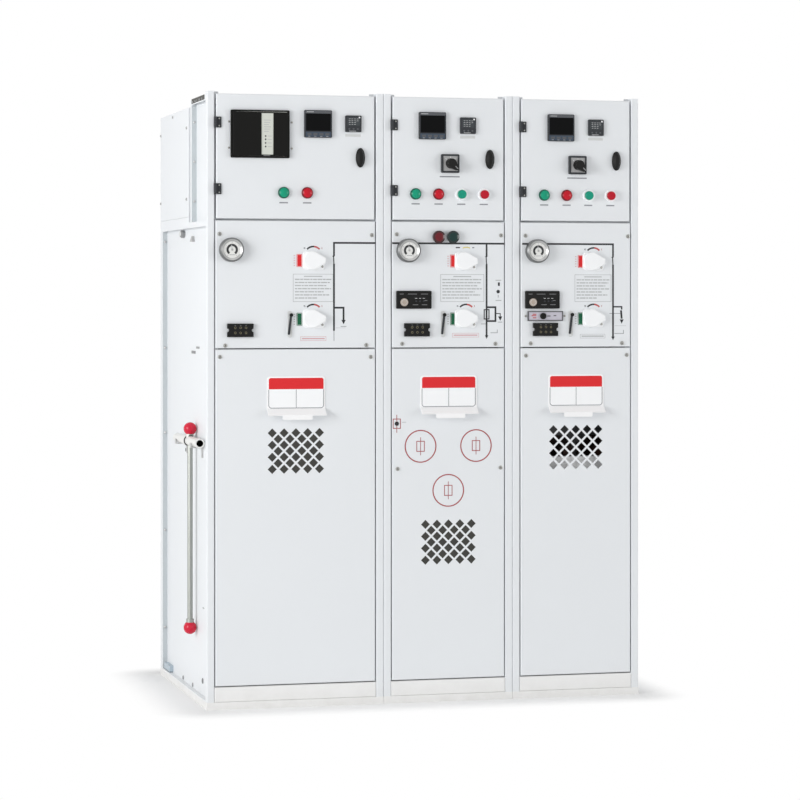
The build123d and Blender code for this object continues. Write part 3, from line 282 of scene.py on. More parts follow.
def settled_dust():
    """Dust and scuffs that thin out with height above the floor."""
    def fill(group, given):
        place = object_place(group)
        split = add_node(group, "SeparateXYZ", {0: place})
        share = math_node(group, "DIVIDE", split.outputs["Z"], given["Reach"], True)
        low = math_node(group, "POWER", math_node(group, "SUBTRACT", 1.0, share), 2.0)
        patchy = math_node(group, "MULTIPLY", noise(group, place, 24.0, 5.0, 0.65), 1.4, True)
        dust = math_node(group, "MULTIPLY", math_node(group, "MULTIPLY", low, patchy), given["Amount"])
        colours = {"Factor": dust, "A": given["Colour"], "B": given["Dust Colour"]}
        return {"Colour": add_node(group, "Mix", colours, data_type="RGBA").outputs["Result"],
                "Dust": dust}

    return shader_group(
        "settled_dust",
        {"Colour": GREY, "Dust Colour": (0.6, 0.59, 0.56, 1), "Reach": 0.12, "Amount": 0.3},
        {"Colour": GREY, "Dust": 0.0}, fill)


def drawn_metal():
    """Fine parallel grain of rolled, brushed or turned metal."""
    def fill(group, given):
        place = object_place(group)
        stretched = add_node(group, "VectorMath", {0: place, 1: given["Stretch"]}, operation="MULTIPLY")
        streak = noise(group, stretched.outputs[0], 1.0, 3.0, 0.7)
        clouds = noise(group, place, 6.0, 3.0, 0.6)
        centred = math_node(group, "SUBTRACT", mixed(group, streak, 0.6, clouds), 0.5)
        swing = math_node(group, "MULTIPLY", centred, given["Streaks"])
        return {"Colour": tinted(group, given["Colour"], math_node(group, "ADD", swing, 1.0)),
                "Roughness": math_node(group, "ADD", given["Roughness"], swing, True),
                "Height": streak}

    return shader_group(
        "drawn_metal",
        {"Colour": (0.6, 0.6, 0.6, 1), "Stretch": (20.0, 600.0, 600.0), "Roughness": 0.35,
         "Streaks": 0.2},
        {"Colour": GREY, "Roughness": 0.5, "Height": 0.0}, fill)


# Finishes

def new_material(name, colour, roughness, metallic=0.0):
    """A material with its Principled BSDF set to plain values."""
    material = bpy.data.materials.new(name)
    material.use_nodes = True
    tree = material.node_tree
    shader = tree.nodes["Principled BSDF"]
    feed(tree, shader, {"Base Color": (*colour, 1), "Roughness": roughness, "Metallic": metallic})
    return material, tree, shader


def raise_grain(tree, shader, height, strength, distance):
    """A Bump node from a height to the shader's normal."""
    bump = add_node(tree, "Bump", {"Strength": strength, "Distance": distance, "Height": height})
    feed(tree, shader, {"Normal": bump.outputs["Normal"]})


def coated(name, colour, roughness, grain, cloudiness, bump, shine=0.4, dust=0.0):
    """Powder coat, moulded plastic or ink."""
    material, tree, shader = new_material(name, colour, roughness)
    surface = add_node(tree, "Group", {"Colour": (*colour, 1), "Grain Size": grain,
                                       "Cloudiness": cloudiness, "Roughness": roughness},
                       node_tree=coated_surface()).outputs
    shown = surface["Colour"]
    if dust:
        shown = add_node(tree, "Group", {"Amount": dust, "Colour": shown},
                         node_tree=settled_dust()).outputs["Colour"]
    feed(tree, shader, {"Base Color": shown, "Roughness": surface["Roughness"],
                        "Specular IOR Level": shine})
    raise_grain(tree, shader, surface["Height"], bump, grain * 0.06)
    return material


def metal(name, colour, roughness, stretch, streaks):
    """Rolled, brushed or plated metal."""
    material, tree, shader = new_material(name, colour, roughness, 1.0)
    surface = add_node(tree, "Group", {"Colour": (*colour, 1), "Stretch": stretch,
                                       "Roughness": roughness, "Streaks": streaks},
                       node_tree=drawn_metal()).outputs
    feed(tree, shader, {"Base Color": surface["Colour"], "Roughness": surface["Roughness"]})
    raise_grain(tree, shader, surface["Height"], strength=0.1, distance=0.0001)
    return material


def spangled_zinc(name):
    """Hot-dip zinc with faint crystals."""
    material, tree, shader = new_material(name, (0.55, 0.57, 0.58), 0.42, 1.0)
    crystals = add_node(tree, "TexVoronoi", {"Scale": 120, "Vector": object_place(tree)})
    split = add_node(tree, "SeparateColor", {0: crystals.outputs["Color"]}).outputs
    tone = add_node(tree, "MapRange", {"To Min": 0.5, "To Max": 0.6, "Value": split["Red"]})
    rough = add_node(tree, "MapRange", {"To Min": 0.34, "To Max": 0.5, "Value": split["Green"]})
    feed(tree, shader, {"Base Color": tone.outputs["Result"], "Roughness": rough.outputs["Result"]})
    return material


def woven_screen(name):
    """Fine dark wire mesh."""
    pitch = 0.0016
    material, tree, shader = new_material(name, (0.06, 0.06, 0.055), 0.6)
    split = add_node(tree, "SeparateXYZ", {0: object_place(tree)}).outputs
    waves = []
    for axis in ("X", "Z"):
        turn = math_node(tree, "MULTIPLY", split[axis], 2 * math.pi / pitch)
        waves.append(math_node(tree, "ABSOLUTE", math_node(tree, "SINE", turn)))
    wires = math_node(tree, "MULTIPLY", *waves)
    tone = add_node(tree, "Mix", {"A": (0.075, 0.073, 0.064, 1), "B": (0.03, 0.03, 0.028, 1),
                                  "Factor": wires}, data_type="RGBA")
    feed(tree, shader, {"Base Color": tone.outputs["Result"], "Specular IOR Level": 0.2})
    raise_grain(tree, shader, wires, strength=0.6, distance=0.0003)
    return material


def lens(name, colour):
    """Coloured lens of a lamp, with a faint glow of its own."""
    material, tree, shader = new_material(name, colour, 0.18)
    surface = add_node(tree, "Group", {"Colour": (*colour, 1), "Grain Size": 0.0025,
                                       "Cloudiness": 0.25, "Roughness": 0.2},
                       node_tree=coated_surface()).outputs
    feed(tree, shader, {"Base Color": surface["Colour"], "Roughness": surface["Roughness"],
                        "Specular IOR Level": 0.25, "Emission Color": (*colour, 1),
                        "Emission Strength": 0.05})
    return material


def finish(kind):
    """The finish of that kind, made when it is first asked for."""
    name = kind.replace("_", " ")
    material = bpy.data.materials.get(name)
    if material:
        return material
    tints = bpy.context.scene.row_colours
    # Colour, roughness, grain size, cloudiness, bump, and where they differ shine and dust
    coats = {
        "powder_coat": (tints.paint, 0.5, 0.0012, 0.035, 0.35, 0.4, 0.25),
        # Painted shade on the flanges' faces turned to the front
        "flange_coat": (tints.flange, 0.5, 0.0012, 0.05, 0.35),
        # Partly its own lighter paint, partly painted light from the floor on the bottom
        "plinth_paint": (tints.plinth, 0.5, 0.0012, 0.05, 0.35, 0.4, 0.5),
        "white_paint": (tints.handle_paint, 0.42, 0.0012, 0.02, 0.25),
        "lever_paint": ((0.8, 0.8, 0.78), 0.38, 0.0012, 0.06, 0.2),
        "white_plastic": ((0.96, 0.972, 0.985), 0.3, 0.0006, 0.01, 0.0),
        "pale_plastic": ((0.66, 0.67, 0.67), 0.4, 0.0007, 0.03, 0.2),
        "strip_film": ((0.66, 0.68, 0.62), 0.4, 0.0007, 0.03, 0.2),
        "lock_plate": ((0.56, 0.54, 0.61), 0.4, 0.0007, 0.05, 0.2),
        "lock_frame": ((0.1, 0.1, 0.11), 0.42, 0.0007, 0.05, 0.25),
        "fitting_grey": ((0.22, 0.225, 0.23), 0.45, 0.001, 0.05, 0.3, 0.3),
        "scale_grey": ((0.44, 0.44, 0.44), 0.42, 0.0007, 0.05, 0.2),
        "grey_plastic": ((0.26, 0.265, 0.27), 0.42, 0.0007, 0.05, 0.25),
        "dark_plastic": ((0.04, 0.043, 0.048), 0.46, 0.0008, 0.1, 0.3, 0.16),
        "black_plastic": ((0.01, 0.01, 0.0096), 0.45, 0.0008, 0.2, 0.3, 0.16),
        "soft_black": ((0.006, 0.006, 0.0055), 0.55, 0.0012, 0.3, 0.4, 0.12),
        "blue_grey_plastic": ((0.055, 0.075, 0.105), 0.42, 0.0008, 0.06, 0.2, 0.25),
        "meter_strip": ((0.1, 0.105, 0.115), 0.4, 0.0008, 0.06, 0.2, 0.25),
        # Painted shade of the gap under the roof rail
        "roof_seal": ((0.08, 0.078, 0.07), 0.6, 0.003, 0.6, 0.4, 0.2),
        "zinc_blue": ((0.42, 0.5, 0.56), 0.4, 0.0015, 0.15, 0.2),
        "screen_glass": ((0.004, 0.0042, 0.0045), 0.3, 0.002, 0.1, 0.0, 0.06),
        "display_grey": ((0.055, 0.062, 0.068), 0.25, 0.002, 0.05, 0.0, 0.25),
        "cast_resin": ((0.05, 0.02, 0.013), 0.45, 0.002, 0.1, 0.1, 0.25),
        "beige_button": ((0.45, 0.38, 0.32), 0.35, 0.0007, 0.08, 0.2),
        "dial_white": ((0.8, 0.8, 0.78), 0.35, 0.001, 0.01, 0.0),
        "ink": (tints.ink, 0.45, 0.001, 0.08, 0.1, 0.25),
        "grey_ink": (tints.grey_ink, 0.5, 0.001, 0.05, 0.1),
        "fine_ink": (tints.fine_ink, 0.5, 0.001, 0.05, 0.1),
        "red_ink": (tints.red_ink, 0.45, 0.001, 0.05, 0.1, 0.25),
        "arc_red": ((0.5, 0.08, 0.08), 0.45, 0.001, 0.05, 0.1, 0.25),
        "pale_red_ink": (tints.pale_red_ink, 0.5, 0.001, 0.05, 0.1),
        "yellow_ink": (tints.yellow_ink, 0.45, 0.001, 0.05, 0.1),
        "red_plate": (tints.red_plate, 0.35, 0.0008, 0.04, 0.15, 0.2),
        "green_plate": (tints.green_plate, 0.35, 0.0008, 0.05, 0.15, 0.2),
        "green_cap": ((0.008, 0.31, 0.2), 0.3, 0.0008, 0.05, 0.15, 0.25),
        "red_cap": ((0.5, 0.008, 0.022), 0.3, 0.0008, 0.05, 0.15, 0.25),
        # Darker copies of the lens colours: painted shade round the lens domes' edges
        "rim_green": ((0.006, 0.12, 0.075), 0.35, 0.0008, 0.05, 0.15, 0.25),
        "rim_red": ((0.2, 0.006, 0.015), 0.35, 0.0008, 0.05, 0.15, 0.25),
        # The rim colours are darker copies of the button colours: painted shade on the caps' rounded rims.
        "trip_red": (tints.trip_red, 0.2, 0.0008, 0.1, 0.1, 0.3),
        "trip_red_edge": ((0.04, 0.003, 0.005), 0.16, 0.0008, 0.1, 0.1, 0.5),
        "close_green": (tints.close_green, 0.2, 0.0008, 0.1, 0.1, 0.3),
        "close_green_edge": ((0.002, 0.014, 0.013), 0.16, 0.0008, 0.1, 0.1, 0.5),
        "ball_red": (tints.ball_red, 0.25, 0.0008, 0.05, 0.1, 0.3),
    }
    # Colour, roughness, stretch of the grain and strength of its streaks
    metals = {
        "bezel_metal": ((0.2, 0.205, 0.205), 0.36, (350.0, 350.0, 40.0), 0.25),
        "bezel_pale": ((0.46, 0.465, 0.46), 0.34, (350.0, 350.0, 40.0), 0.2),
        "brass": ((0.3, 0.27, 0.18), 0.4, (900.0, 900.0, 900.0), 0.2),
        # Kept very dark so the tanks seen through the vents read as shade: painted shade on the stainless.
        "stainless": ((0.2, 0.2, 0.2), 0.5, (8.0, 300.0, 700.0), 0.12),
        "screw_steel": ((0.34, 0.34, 0.32), 0.35, (900.0, 900.0, 900.0), 0.3),
        "rod_steel": ((0.37, 0.385, 0.36), 0.36, (700.0, 700.0, 25.0), 0.2),
    }
    lenses = {"lens_green": (tints.lamp_green,), "lens_red": (tints.lamp_red,)}
    for maker, kinds in ((coated, coats), (metal, metals), (lens, lenses),
                         (spangled_zinc, {"zinc": ()}), (woven_screen, {"wire_mesh": ()})):
        if kind in kinds:
            return maker(name, *kinds[kind])
    raise KeyError(kind)


def dress(node, *finishes, choose=None):
    """Give a CAD piece its finishes.

    For each face, choose gives a finish's number in the list from the face's place along the row, its
    distance out from the front and its height, in mm.
    """
    body = NODES[node]
    mesh = body.data
    mesh.materials.clear()
    for kind in finishes:
        mesh.materials.append(finish(kind))
    for face in mesh.polygons:
        centre = body.matrix_world @ face.center
        spot = ((centre.x - LEFT) / MM, (FRONT - centre.y) / MM, centre.z / MM)
        face.material_index = int(choose(*spot)) if choose else 0


def add_object(name, data):
    thing = bpy.data.objects.new(name, data)
    bpy.context.scene.collection.objects.link(thing)
    return thing


# Drawing on flat faces

# Keeps the mitre of a sharp corner from running out far
LEAST_LEAN = 0.3


def polar(u, v, radius, degrees):
    """The point at a distance and an angle from a centre."""
    turn = math.radians(degrees)
    return u + radius * math.cos(turn), v + radius * math.sin(turn)


def circle(u, v, radius, steps=32, tall=None):
    """Corners of a circle, or of an ellipse where its height differs."""
    tall = radius if tall is None else tall
    return [(u + radius * math.cos(2 * math.pi * k / steps), v + tall * math.sin(2 * math.pi * k / steps))
            for k in range(steps)]


def rounded(u0, u1, v0, v1, corner=0.0):
    """Corners of a rectangle with rounded corners."""
    if not corner:
        return [(u0, v0), (u1, v0), (u1, v1), (u0, v1)]
    centres = ((u1 - corner, v0 + corner, -90), (u1 - corner, v1 - corner, 0),
               (u0 + corner, v1 - corner, 90), (u0 + corner, v0 + corner, 180))
    turns = (0, 18, 36, 54, 72, 90)
    return [polar(u, v, corner, start + turn) for u, v, start in centres for turn in turns]


def inset(points, distance):
    """The same outline, drawn in by a distance."""
    drawn = []
    for before, here, after in zip(points[-1:] + points[:-1], points, points[1:] + points[:1]):
        first = (Vector(here) - Vector(before)).normalized()
        second = (Vector(after) - Vector(here)).normalized()
        across = Vector((-first.y - second.y, first.x + second.x))
        if across.length < 1e-6:
            across = Vector((-first.y, first.x))
        across.normalize()
        lean = max(LEAST_LEAN, across.dot(Vector((-first.y, first.x))))
        drawn.append((here[0] + across.x * distance / lean, here[1] + across.y * distance / lean))
    return drawn


class Drawing:
    """Thin raised shapes and small fittings on one flat face, gathered into one mesh.

    Places are in mm across and up the face, and distances out of it; kind names a finish.
    """

    SHARP_EDGE = math.radians(32)
    SAME_PLACE = 1e-7

    def __init__(self, corner, across=(1, 0, 0)):
        self.corner = Vector(corner)
        self.across = Vector(across)
        self.up = Vector((0, 0, 1))
        self.out = self.across.cross(self.up)
        self.mesh = bmesh.new()
        self.finishes = []

    def vert(self, u, v, out):
        return self.mesh.verts.new(
            self.corner + (self.across * u + self.up * v + self.out * out) * MM)

    def face(self, verts, kind):
        if kind not in self.finishes:
            self.finishes.append(kind)
        self.mesh.faces.new(verts).material_index = self.finishes.index(kind)

    def loops(self, rings, kind, closed_top=True):
        """Skin between rings of corners, each ring an outline and its distance out."""
        rows = [[self.vert(u, v, out) for u, v in outline] for outline, out in rings]
        for low, high in zip(rows, rows[1:]):
            count = len(low)
            for k in range(count):
                n = (k + 1) % count
                self.face((low[k], low[n], high[n], high[k]), kind)
        if closed_top:
            self.face(rows[-1], kind)

    def plate(self, outline, kind, thick=PRINT, base=0.0, bevel=0.0):
        """A flat plate, with its front edge drawn in by a bevel."""
        rings = [(outline, base), (outline, base + thick - bevel)]
        if bevel:
            rings.append((inset(outline, bevel), base + thick))
        self.loops(rings, kind)

    def line(self, points, width, kind, thick=PRINT, base=0.0, closed=False):
        """A mitred line through points."""
        count = len(points)
        left, right = [], []
        for k, here in enumerate(points):
            before = points[k - 1] if k or closed else None
            after = points[(k + 1) % count] if k < count - 1 or closed else None
            here = Vector(here)
            ways = [(here - Vector(before)).normalized()] if before else []
            ways += [(Vector(after) - here).normalized()] if after else []
            normals = [Vector((-way.y, way.x)) for way in ways]
            side = sum(normals, Vector((0, 0))).normalized()
            side *= width / 2 / max(LEAST_LEAN, side.dot(normals[0]))
            left.append(tuple(here + side))
            right.append(tuple(here - side))
        if not closed:
            self.plate(right + left[::-1], kind, thick, base)
            return
        for outline in zip(right, right[1:] + right[:1], left[1:] + left[:1], left):
            self.plate(list(outline), kind, thick, base)

    def rule(self, start, end, height, width, kind, thick=PRINT, base=0.0):
        """A level line."""
        self.line([(start, height), (end, height)], width, kind, thick, base)

    def upright(self, place, start, end, width, kind, thick=PRINT):
        self.line([(place, start), (place, end)], width, kind, thick)

    def spoke(self, u, v, near, far, degrees, width, kind, thick, base):
        """A line that points away from a centre."""
        self.line([polar(u, v, near, degrees), polar(u, v, far, degrees)], width, kind, thick, base)

    def border(self, left, right, low, high, width, kind, thick=PRINT, base=0.0):
        """A line round a rectangle."""
        self.line(rounded(left, right, low, high), width, kind, thick, base, True)

    def band(self, u, v, radius, width, start, end, kind, thick=PRINT, base=0.0, steps=12):
        """An arc, from one angle to another in degrees."""
        turns = [start + (end - start) * k / steps for k in range(steps + 1)]
        outer = [polar(u, v, radius + width / 2, turn) for turn in turns]
        inner = [polar(u, v, radius - width / 2, turn) for turn in turns]
        for k in range(steps):
            self.plate([inner[k], outer[k], outer[k + 1], inner[k + 1]], kind, thick, base)

    def ring(self, u, v, outer, inner, kind, thick=PRINT, base=0.0, steps=48):
        """A flat ring with both its walls."""
        far, near = circle(u, v, outer, steps), circle(u, v, inner, steps)
        self.loops([(far, base), (far, base + thick), (near, base + thick), (near, base)], kind, False)

    def dome(self, u, v, radius, height, kind, base=0.0, steps=20, rows=4, wall=0.0):
        """A rounded head on a short wall."""
        rings = [(circle(u, v, radius, steps), base)]
        for k in range(rows):
            turn = math.pi / 2 * k / rows
            rings.append((circle(u, v, radius * max(math.cos(turn), 0.12), steps),
                          base + wall + height * math.sin(turn)))
        self.loops(rings, kind)

    def screw(self, u, v, radius, turn=20.0, kind="screw_steel"):
        """A domed screw head on a thin washer, with its cross slot drawn as a raised dark cross: painted
        shade in place of a cut slot.
        """
        washer = 0.5
        self.plate(circle(u, v, radius * 1.25, 20), "pale_plastic", washer, 0.0, 0.2)
        self.dome(u, v, radius, radius * 0.4, kind, washer, wall=radius * 0.3)
        for extra in (0, 90):
            self.spoke(u, v, -radius * 0.55, radius * 0.55, turn + extra, radius * 0.2, "ink",
                       radius * 0.06 + extra * 0.0005, washer + radius * 0.62)

    def finish(self, name, body, slot_name="powder_coat"):
        """The gathered mesh as a piece that rides on a body."""
        mesh = bpy.data.meshes.new(name)
        bmesh.ops.remove_doubles(self.mesh, verts=self.mesh.verts, dist=self.SAME_PLACE)
        self.mesh.to_mesh(mesh)
        self.mesh.free()
        for kind in self.finishes:
            mesh.materials.append(finish(kind))
        mesh.shade_smooth()
        mesh.set_sharp_from_angle(angle=self.SHARP_EDGE)
        piece = add_object(name, mesh)
        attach(piece, body)


def front_of(bay):
    """A drawing on a cubicle's front, with places from the cubicle's left edge."""
    return Drawing((LEFT + STARTS[bay] * MM, FRONT, 0))


def left_side(inward=0.0):
    """A drawing on the row's left side; places are minus the distance from the front."""
    return Drawing((LEFT + inward * MM, FRONT, 0), (0, -1, 0))


# Operators

class SWITCHGEAR_OT_housing(bpy.types.Operator):
    """Coat the sheets, posts, doors and covers"""

    bl_idname = "switchgear.housing"
    bl_label = "Coat the Housing"

    def execute(self, context):
        for node in ("front_posts", "side_sheets", "side_sills", "decks", "rear_panels", "box_roofs",
                     "rear_boxes", "rear_box_covers", "mechanism_panels", "cable_covers",
                     "door_1", "door_2", "door_3"):
            dress(node, "powder_coat")
        # The flanges' faces turned to the front take the darker flange colour: painted shade of the side
        # recess.
        for node, depth in (("rear_posts", REAR_FLANGE), ("box_backs", BOX_FLANGE)):
            dress(node, "powder_coat", "flange_coat", choose=lambda x, out, z: abs(out + depth) < 0.5)
        # The lighter plinth paint is partly painted light from the floor on the bottom.
        for node in ("base_frame", "kick_plates"):
            dress(node, "plinth_paint")
        dress("cover_handles", "white_paint")
        return {"FINISHED"}


class SWITCHGEAR_OT_inside(bpy.types.Operator):
    """Finish what shows through the vents and behind the open doors"""

    bl_idname = "switchgear.inside"
    bl_label = "Finish the Inside"

    def execute(self, context):
        # The gas tanks' dark stainless is painted shade inside the cubicles, seen through the vents.
        for node, kind in (("gas_tanks", "stainless"), ("mechanisms", "zinc"), ("lever_hooks", "zinc"),
                           ("cable_bushings", "cast_resin"), ("cable_rails", "white_paint"),
                           ("vent_screens", "wire_mesh")):
            dress(node, kind)
        return {"FINISHED"}


class SWITCHGEAR_OT_hinges(bpy.types.Operator):
    """Finish the door hinges and add their screws"""

    bl_idname = "switchgear.hinges"
    bl_label = "Finish the Hinges"

    def execute(self, context):
        dress("post_hinges", "dark_plastic")
        for bay in BAYS:
            node = f"door_hinges_{bay + 1}"
            dress(node, "dark_plastic")
            _, right, bottom, top = span(node)
            drawing = front_of(bay)
            for height in (bottom + 5, bottom + 25, top - 25, top - 5):
                drawing.dome(right - STARTS[bay] - 6, height, 2.3, 0.9, "screw_steel", 3.0, 14, 3)
            drawing.finish(f"hinge_screws_{bay + 1}", f"door_{bay + 1}", "black_plastic")
        return {"FINISHED"}


class SWITCHGEAR_OT_relay(bpy.types.Operator):
    """Finish the protection relay and add its lamps and screws"""

    bl_idname = "switchgear.relay"
    bl_label = "Finish the Relay"

    def execute(self, context):
        left, right, bottom, _ = span("relay")
        middle = (left + right) / 2
        strip = 11.0

        def choose(x, out, z):
            if out < BEHIND_DOOR:
                return 2
            return 9 < out < 11.5 and abs(x - middle - 19) < 17

        dress("relay", "soft_black", "strip_film", "zinc", choose=choose)
        drawing = front_of(0)
        for height in RELAY_LAMPS:
            drawing.dome(middle + 14, height, 2.3, 0.6, "ink", strip, 12, 3)
            drawing.rule(middle + 20, middle + 31, height, 1.4, "fine_ink", 0.1, strip)
        for row in range(6):
            drawing.rule(middle + 9, middle + 29 - 3 * (row % 3), RELAY_TEXT_TOP - 6.2 * row, 1.5,
                         "fine_ink", 0.1, strip)
        drawing.rule(middle + 8, middle + 26, bottom + 6, 1.4, "grey_plastic", 0.2, strip + 1)
        for place, height in RELAY_SCREWS:
            drawing.screw(place, height, 2.6)
        drawing.finish("relay_fittings", "door_1", "grey_plastic")
        return {"FINISHED"}


class SWITCHGEAR_OT_meters(bpy.types.Operator):
    """Finish the meters and the temperature controllers"""

    bl_idname = "switchgear.meters"
    bl_label = "Finish the Meters"

    def execute(self, context):
        meter_face, display = 9.0, 6.0
        for bay in BAYS:
            node = f"panel_meters_{bay + 1}"
            left, right, _, top = span(node)
            split = left + 78
            controller = top - 36

            def choose(x, out, z):
                if out < BEHIND_DOOR:
                    return 4
                # Left of the split is the meter, right of it the controller
                if x < split + 0.5:
                    if 7 < out < 8.5 and abs(x - left - 39) < 36 and abs(z - top + 33.5) < 25:
                        return 1
                    return 2 if out > 9.1 else 0
                if 5.5 < out < 6.6 and abs(x - right + 23) < 20:
                    return 3
                return 2 if out > 7.05 else 0

            dress(node, "dark_plastic", "screen_glass", "meter_strip", "display_grey", "black_plastic",
                  choose=choose)
            drawing = front_of(0)
            drawing.plate(rounded(left + 2, split - 2, top - 9, top - 1.5), "meter_strip", 0.15, meter_face)
            drawing.rule(left + 6, left + 26, top - 5, 1.3, "pale_plastic", 0.1, meter_face + 0.15)
            drawing.plate(rounded(left + 3, split - 3, top - 74, top - 60), "blue_grey_plastic", 0.15,
                          meter_face)
            for part in range(4):
                start = left + 10 + part * 17
                drawing.rule(start, start + 6, top - 72.5, 1.2, "fine_ink", 0.1, meter_face + 0.15)
            for row, digits in ((11, 4), (1, 3)):
                for digit in range(digits):
                    start = right - 36 + digit * 7.5
                    for side in (-2.6, 2.6):
                        drawing.rule(start, start + 4.6, controller + row + side, 0.9, "pale_plastic", 0.1,
                                     display)
            drawing.rule(right - 36, right - 16, controller - 20.5, 1.2, "pale_plastic", 0.1, display + 1)
            drawing.dome(right - 6, controller + 17.5, 2.4, 0.5, "white_plastic", display + 1, 14, 3)
            drawing.plate(rounded(right - 45, right - 1, controller - 36, controller - 29, 1),
                          "pale_plastic", 0.6, 0.0, 0.2)
            drawing.finish(f"meter_faces_{bay + 1}", f"door_{bay + 1}", "black_plastic")
        return {"FINISHED"}


class SWITCHGEAR_OT_lamps(bpy.types.Operator):
    """Finish the signal lamps and add the label strips under them"""

    bl_idname = "switchgear.lamps"
    bl_label = "Finish the Lamps"

    def execute(self, context):
        for bay, places in enumerate(LAMPS):
            # Faces beyond 12.4 mm from a lamp's middle take a darker copy of its lens colour, painted shade
            # round the dome's edge; the base below 3.2 mm out takes the same darker colour.
            def choose(x, out, z):
                if out < 0:
                    return 2
                tone = int(x - STARTS[bay] > sum(places) / 2)
                away = math.hypot(x - STARTS[bay] - places[tone], z - LAMP_HEIGHT)
                return tone + 3 if out < 3.2 or away > 12.4 else tone

            dress(f"lamps_{bay + 1}", "lens_green", "lens_red", "dark_plastic", "rim_green", "rim_red",
                  choose=choose)
            strips = [(place, 12, LAMP_HEIGHT - 29.5) for place in places]
            if bay:
                strips += [(place, 12, LAMP_HEIGHT - 29.5) for place in BUTTONS]
                strips.append((SELECTOR_PLACE, 29, SELECTOR_LABEL_LOW))
            drawing = front_of(bay)
            for place, half, low in strips:
                drawing.plate(rounded(place - half, place + half, low, low + 3.5, 0.6), "grey_ink", 0.3)
            drawing.finish(f"label_strips_{bay + 1}", f"door_{bay + 1}", "grey_plastic")
        return {"FINISHED"}


class SWITCHGEAR_OT_controls(bpy.types.Operator):
    """Finish the selector switches, the push-buttons and the latches"""

    bl_idname = "switchgear.controls"
    bl_label = "Finish the Controls"

    def execute(self, context):
        for bay in (1, 2):
            number = bay + 1
            centre = STARTS[bay] + SELECTOR_PLACE
            height = span(f"selector_base_{number}")[2] + 26

            def choose(x, out, z):
                sunk = 5 < out < 8.8 and abs(x - centre) < 21.2 and abs(z - height) < 21.2
                return 2 if out < BEHIND_DOOR else sunk

            dress(f"selector_base_{number}", "dark_plastic", "scale_grey", "black_plastic", choose=choose)
            dress(f"selector_handle_{number}", "black_plastic")
            drawing = front_of(bay)
            for turn in (45, 90, 135):
                drawing.spoke(SELECTOR_PLACE, height, 15.5, 19.5, turn, 1.2, "white_plastic", 0.15, 8.5)
            drawing.finish(f"selector_scale_{number}", f"door_{number}", "grey_plastic")
            pointer = front_of(bay)
            pointer.spoke(SELECTOR_PLACE, height, 12, 23, -45, 2.6, "grey_plastic", 0.2, 31.3)
            pointer.finish(f"selector_pointer_{number}", f"selector_handle_{number}", "white_plastic")
            dress(f"button_bezels_{number}", "white_plastic", "dark_plastic",
                  choose=lambda x, out, z: out < 0)
            dress(f"green_button_{number}", "green_cap")
            dress(f"red_button_{number}", "red_cap")
        for number in (1, 2, 3):
            dress(f"latch_{number}", "black_plastic", "screw_steel", choose=lambda x, out, z: out < -0.5)
        for button, tone in (("trip_button", "trip_red"), ("close_button", "close_green")):
            left, right, bottom, top = span(button)

            # Beyond 12 mm from the middle the cap takes a darker, glossier copy of its colour: painted shade
            # on its rounded rim.
            def choose(x, out, z):
                if out < 5.6:
                    return 2
                return math.hypot(x - (left + right) / 2, z - (bottom + top) / 2) >= 12

            dress(button, tone, f"{tone}_edge", "dark_plastic", choose=choose)
        return {"FINISHED"}


class SWITCHGEAR_OT_gauges(bpy.types.Operator):
    """Finish the pressure gauges and draw their dials"""

    bl_idname = "switchgear.gauges"
    bl_label = "Finish the Gauges"

    def execute(self, context):
        centres = [start + place for start, place in zip(STARTS, GAUGES)]
        face, scale_radius = 18.0, 21.6
        scale_start, scale_end = -52, 232

        # The lip between the dial and the bezel's outer edge takes the paler metal: a painted highlight on
        # the same bezel ring.
        def choose(x, out, z):
            radius = min(math.hypot(x - centre, z - GAUGE_HEIGHT) for centre in centres)
            if out < 15 or radius > 29:
                return 0
            return 1 if radius < 23.2 else 2

        dress("gauges", "bezel_metal", "dial_white", "bezel_pale", choose=choose)
        for bay, place in enumerate(GAUGES):
            drawing = front_of(bay)
            drawing.band(place, GAUGE_HEIGHT, 12.9, 6.2, scale_start, scale_end, "ink", 0.15, face, 40)
            for step in range(11):
                near = 19.6 if step % 5 else 18.4
                turn = scale_start + (scale_end - scale_start) * step / 10
                drawing.spoke(place, GAUGE_HEIGHT, near, scale_radius, turn, 0.8, "grey_ink", 0.12, face)
            tip = polar(place, GAUGE_HEIGHT, 15.5, 97)
            drawing.plate([(place - 3, GAUGE_HEIGHT - 1), (place + 3, GAUGE_HEIGHT - 1), tip],
                          "pale_plastic", 0.3, face + 0.5)
            drawing.dome(place, GAUGE_HEIGHT, 3.0, 1.0, "bezel_pale", face, 16, 3, 0.8)
            drawing.rule(place - 8, place + 8, GAUGE_HEIGHT - 14, 1.2, "grey_ink", 0.12, face)
            drawing.finish(f"dial_{bay + 1}", "cubicles", "gauge_bezel")
        return {"FINISHED"}


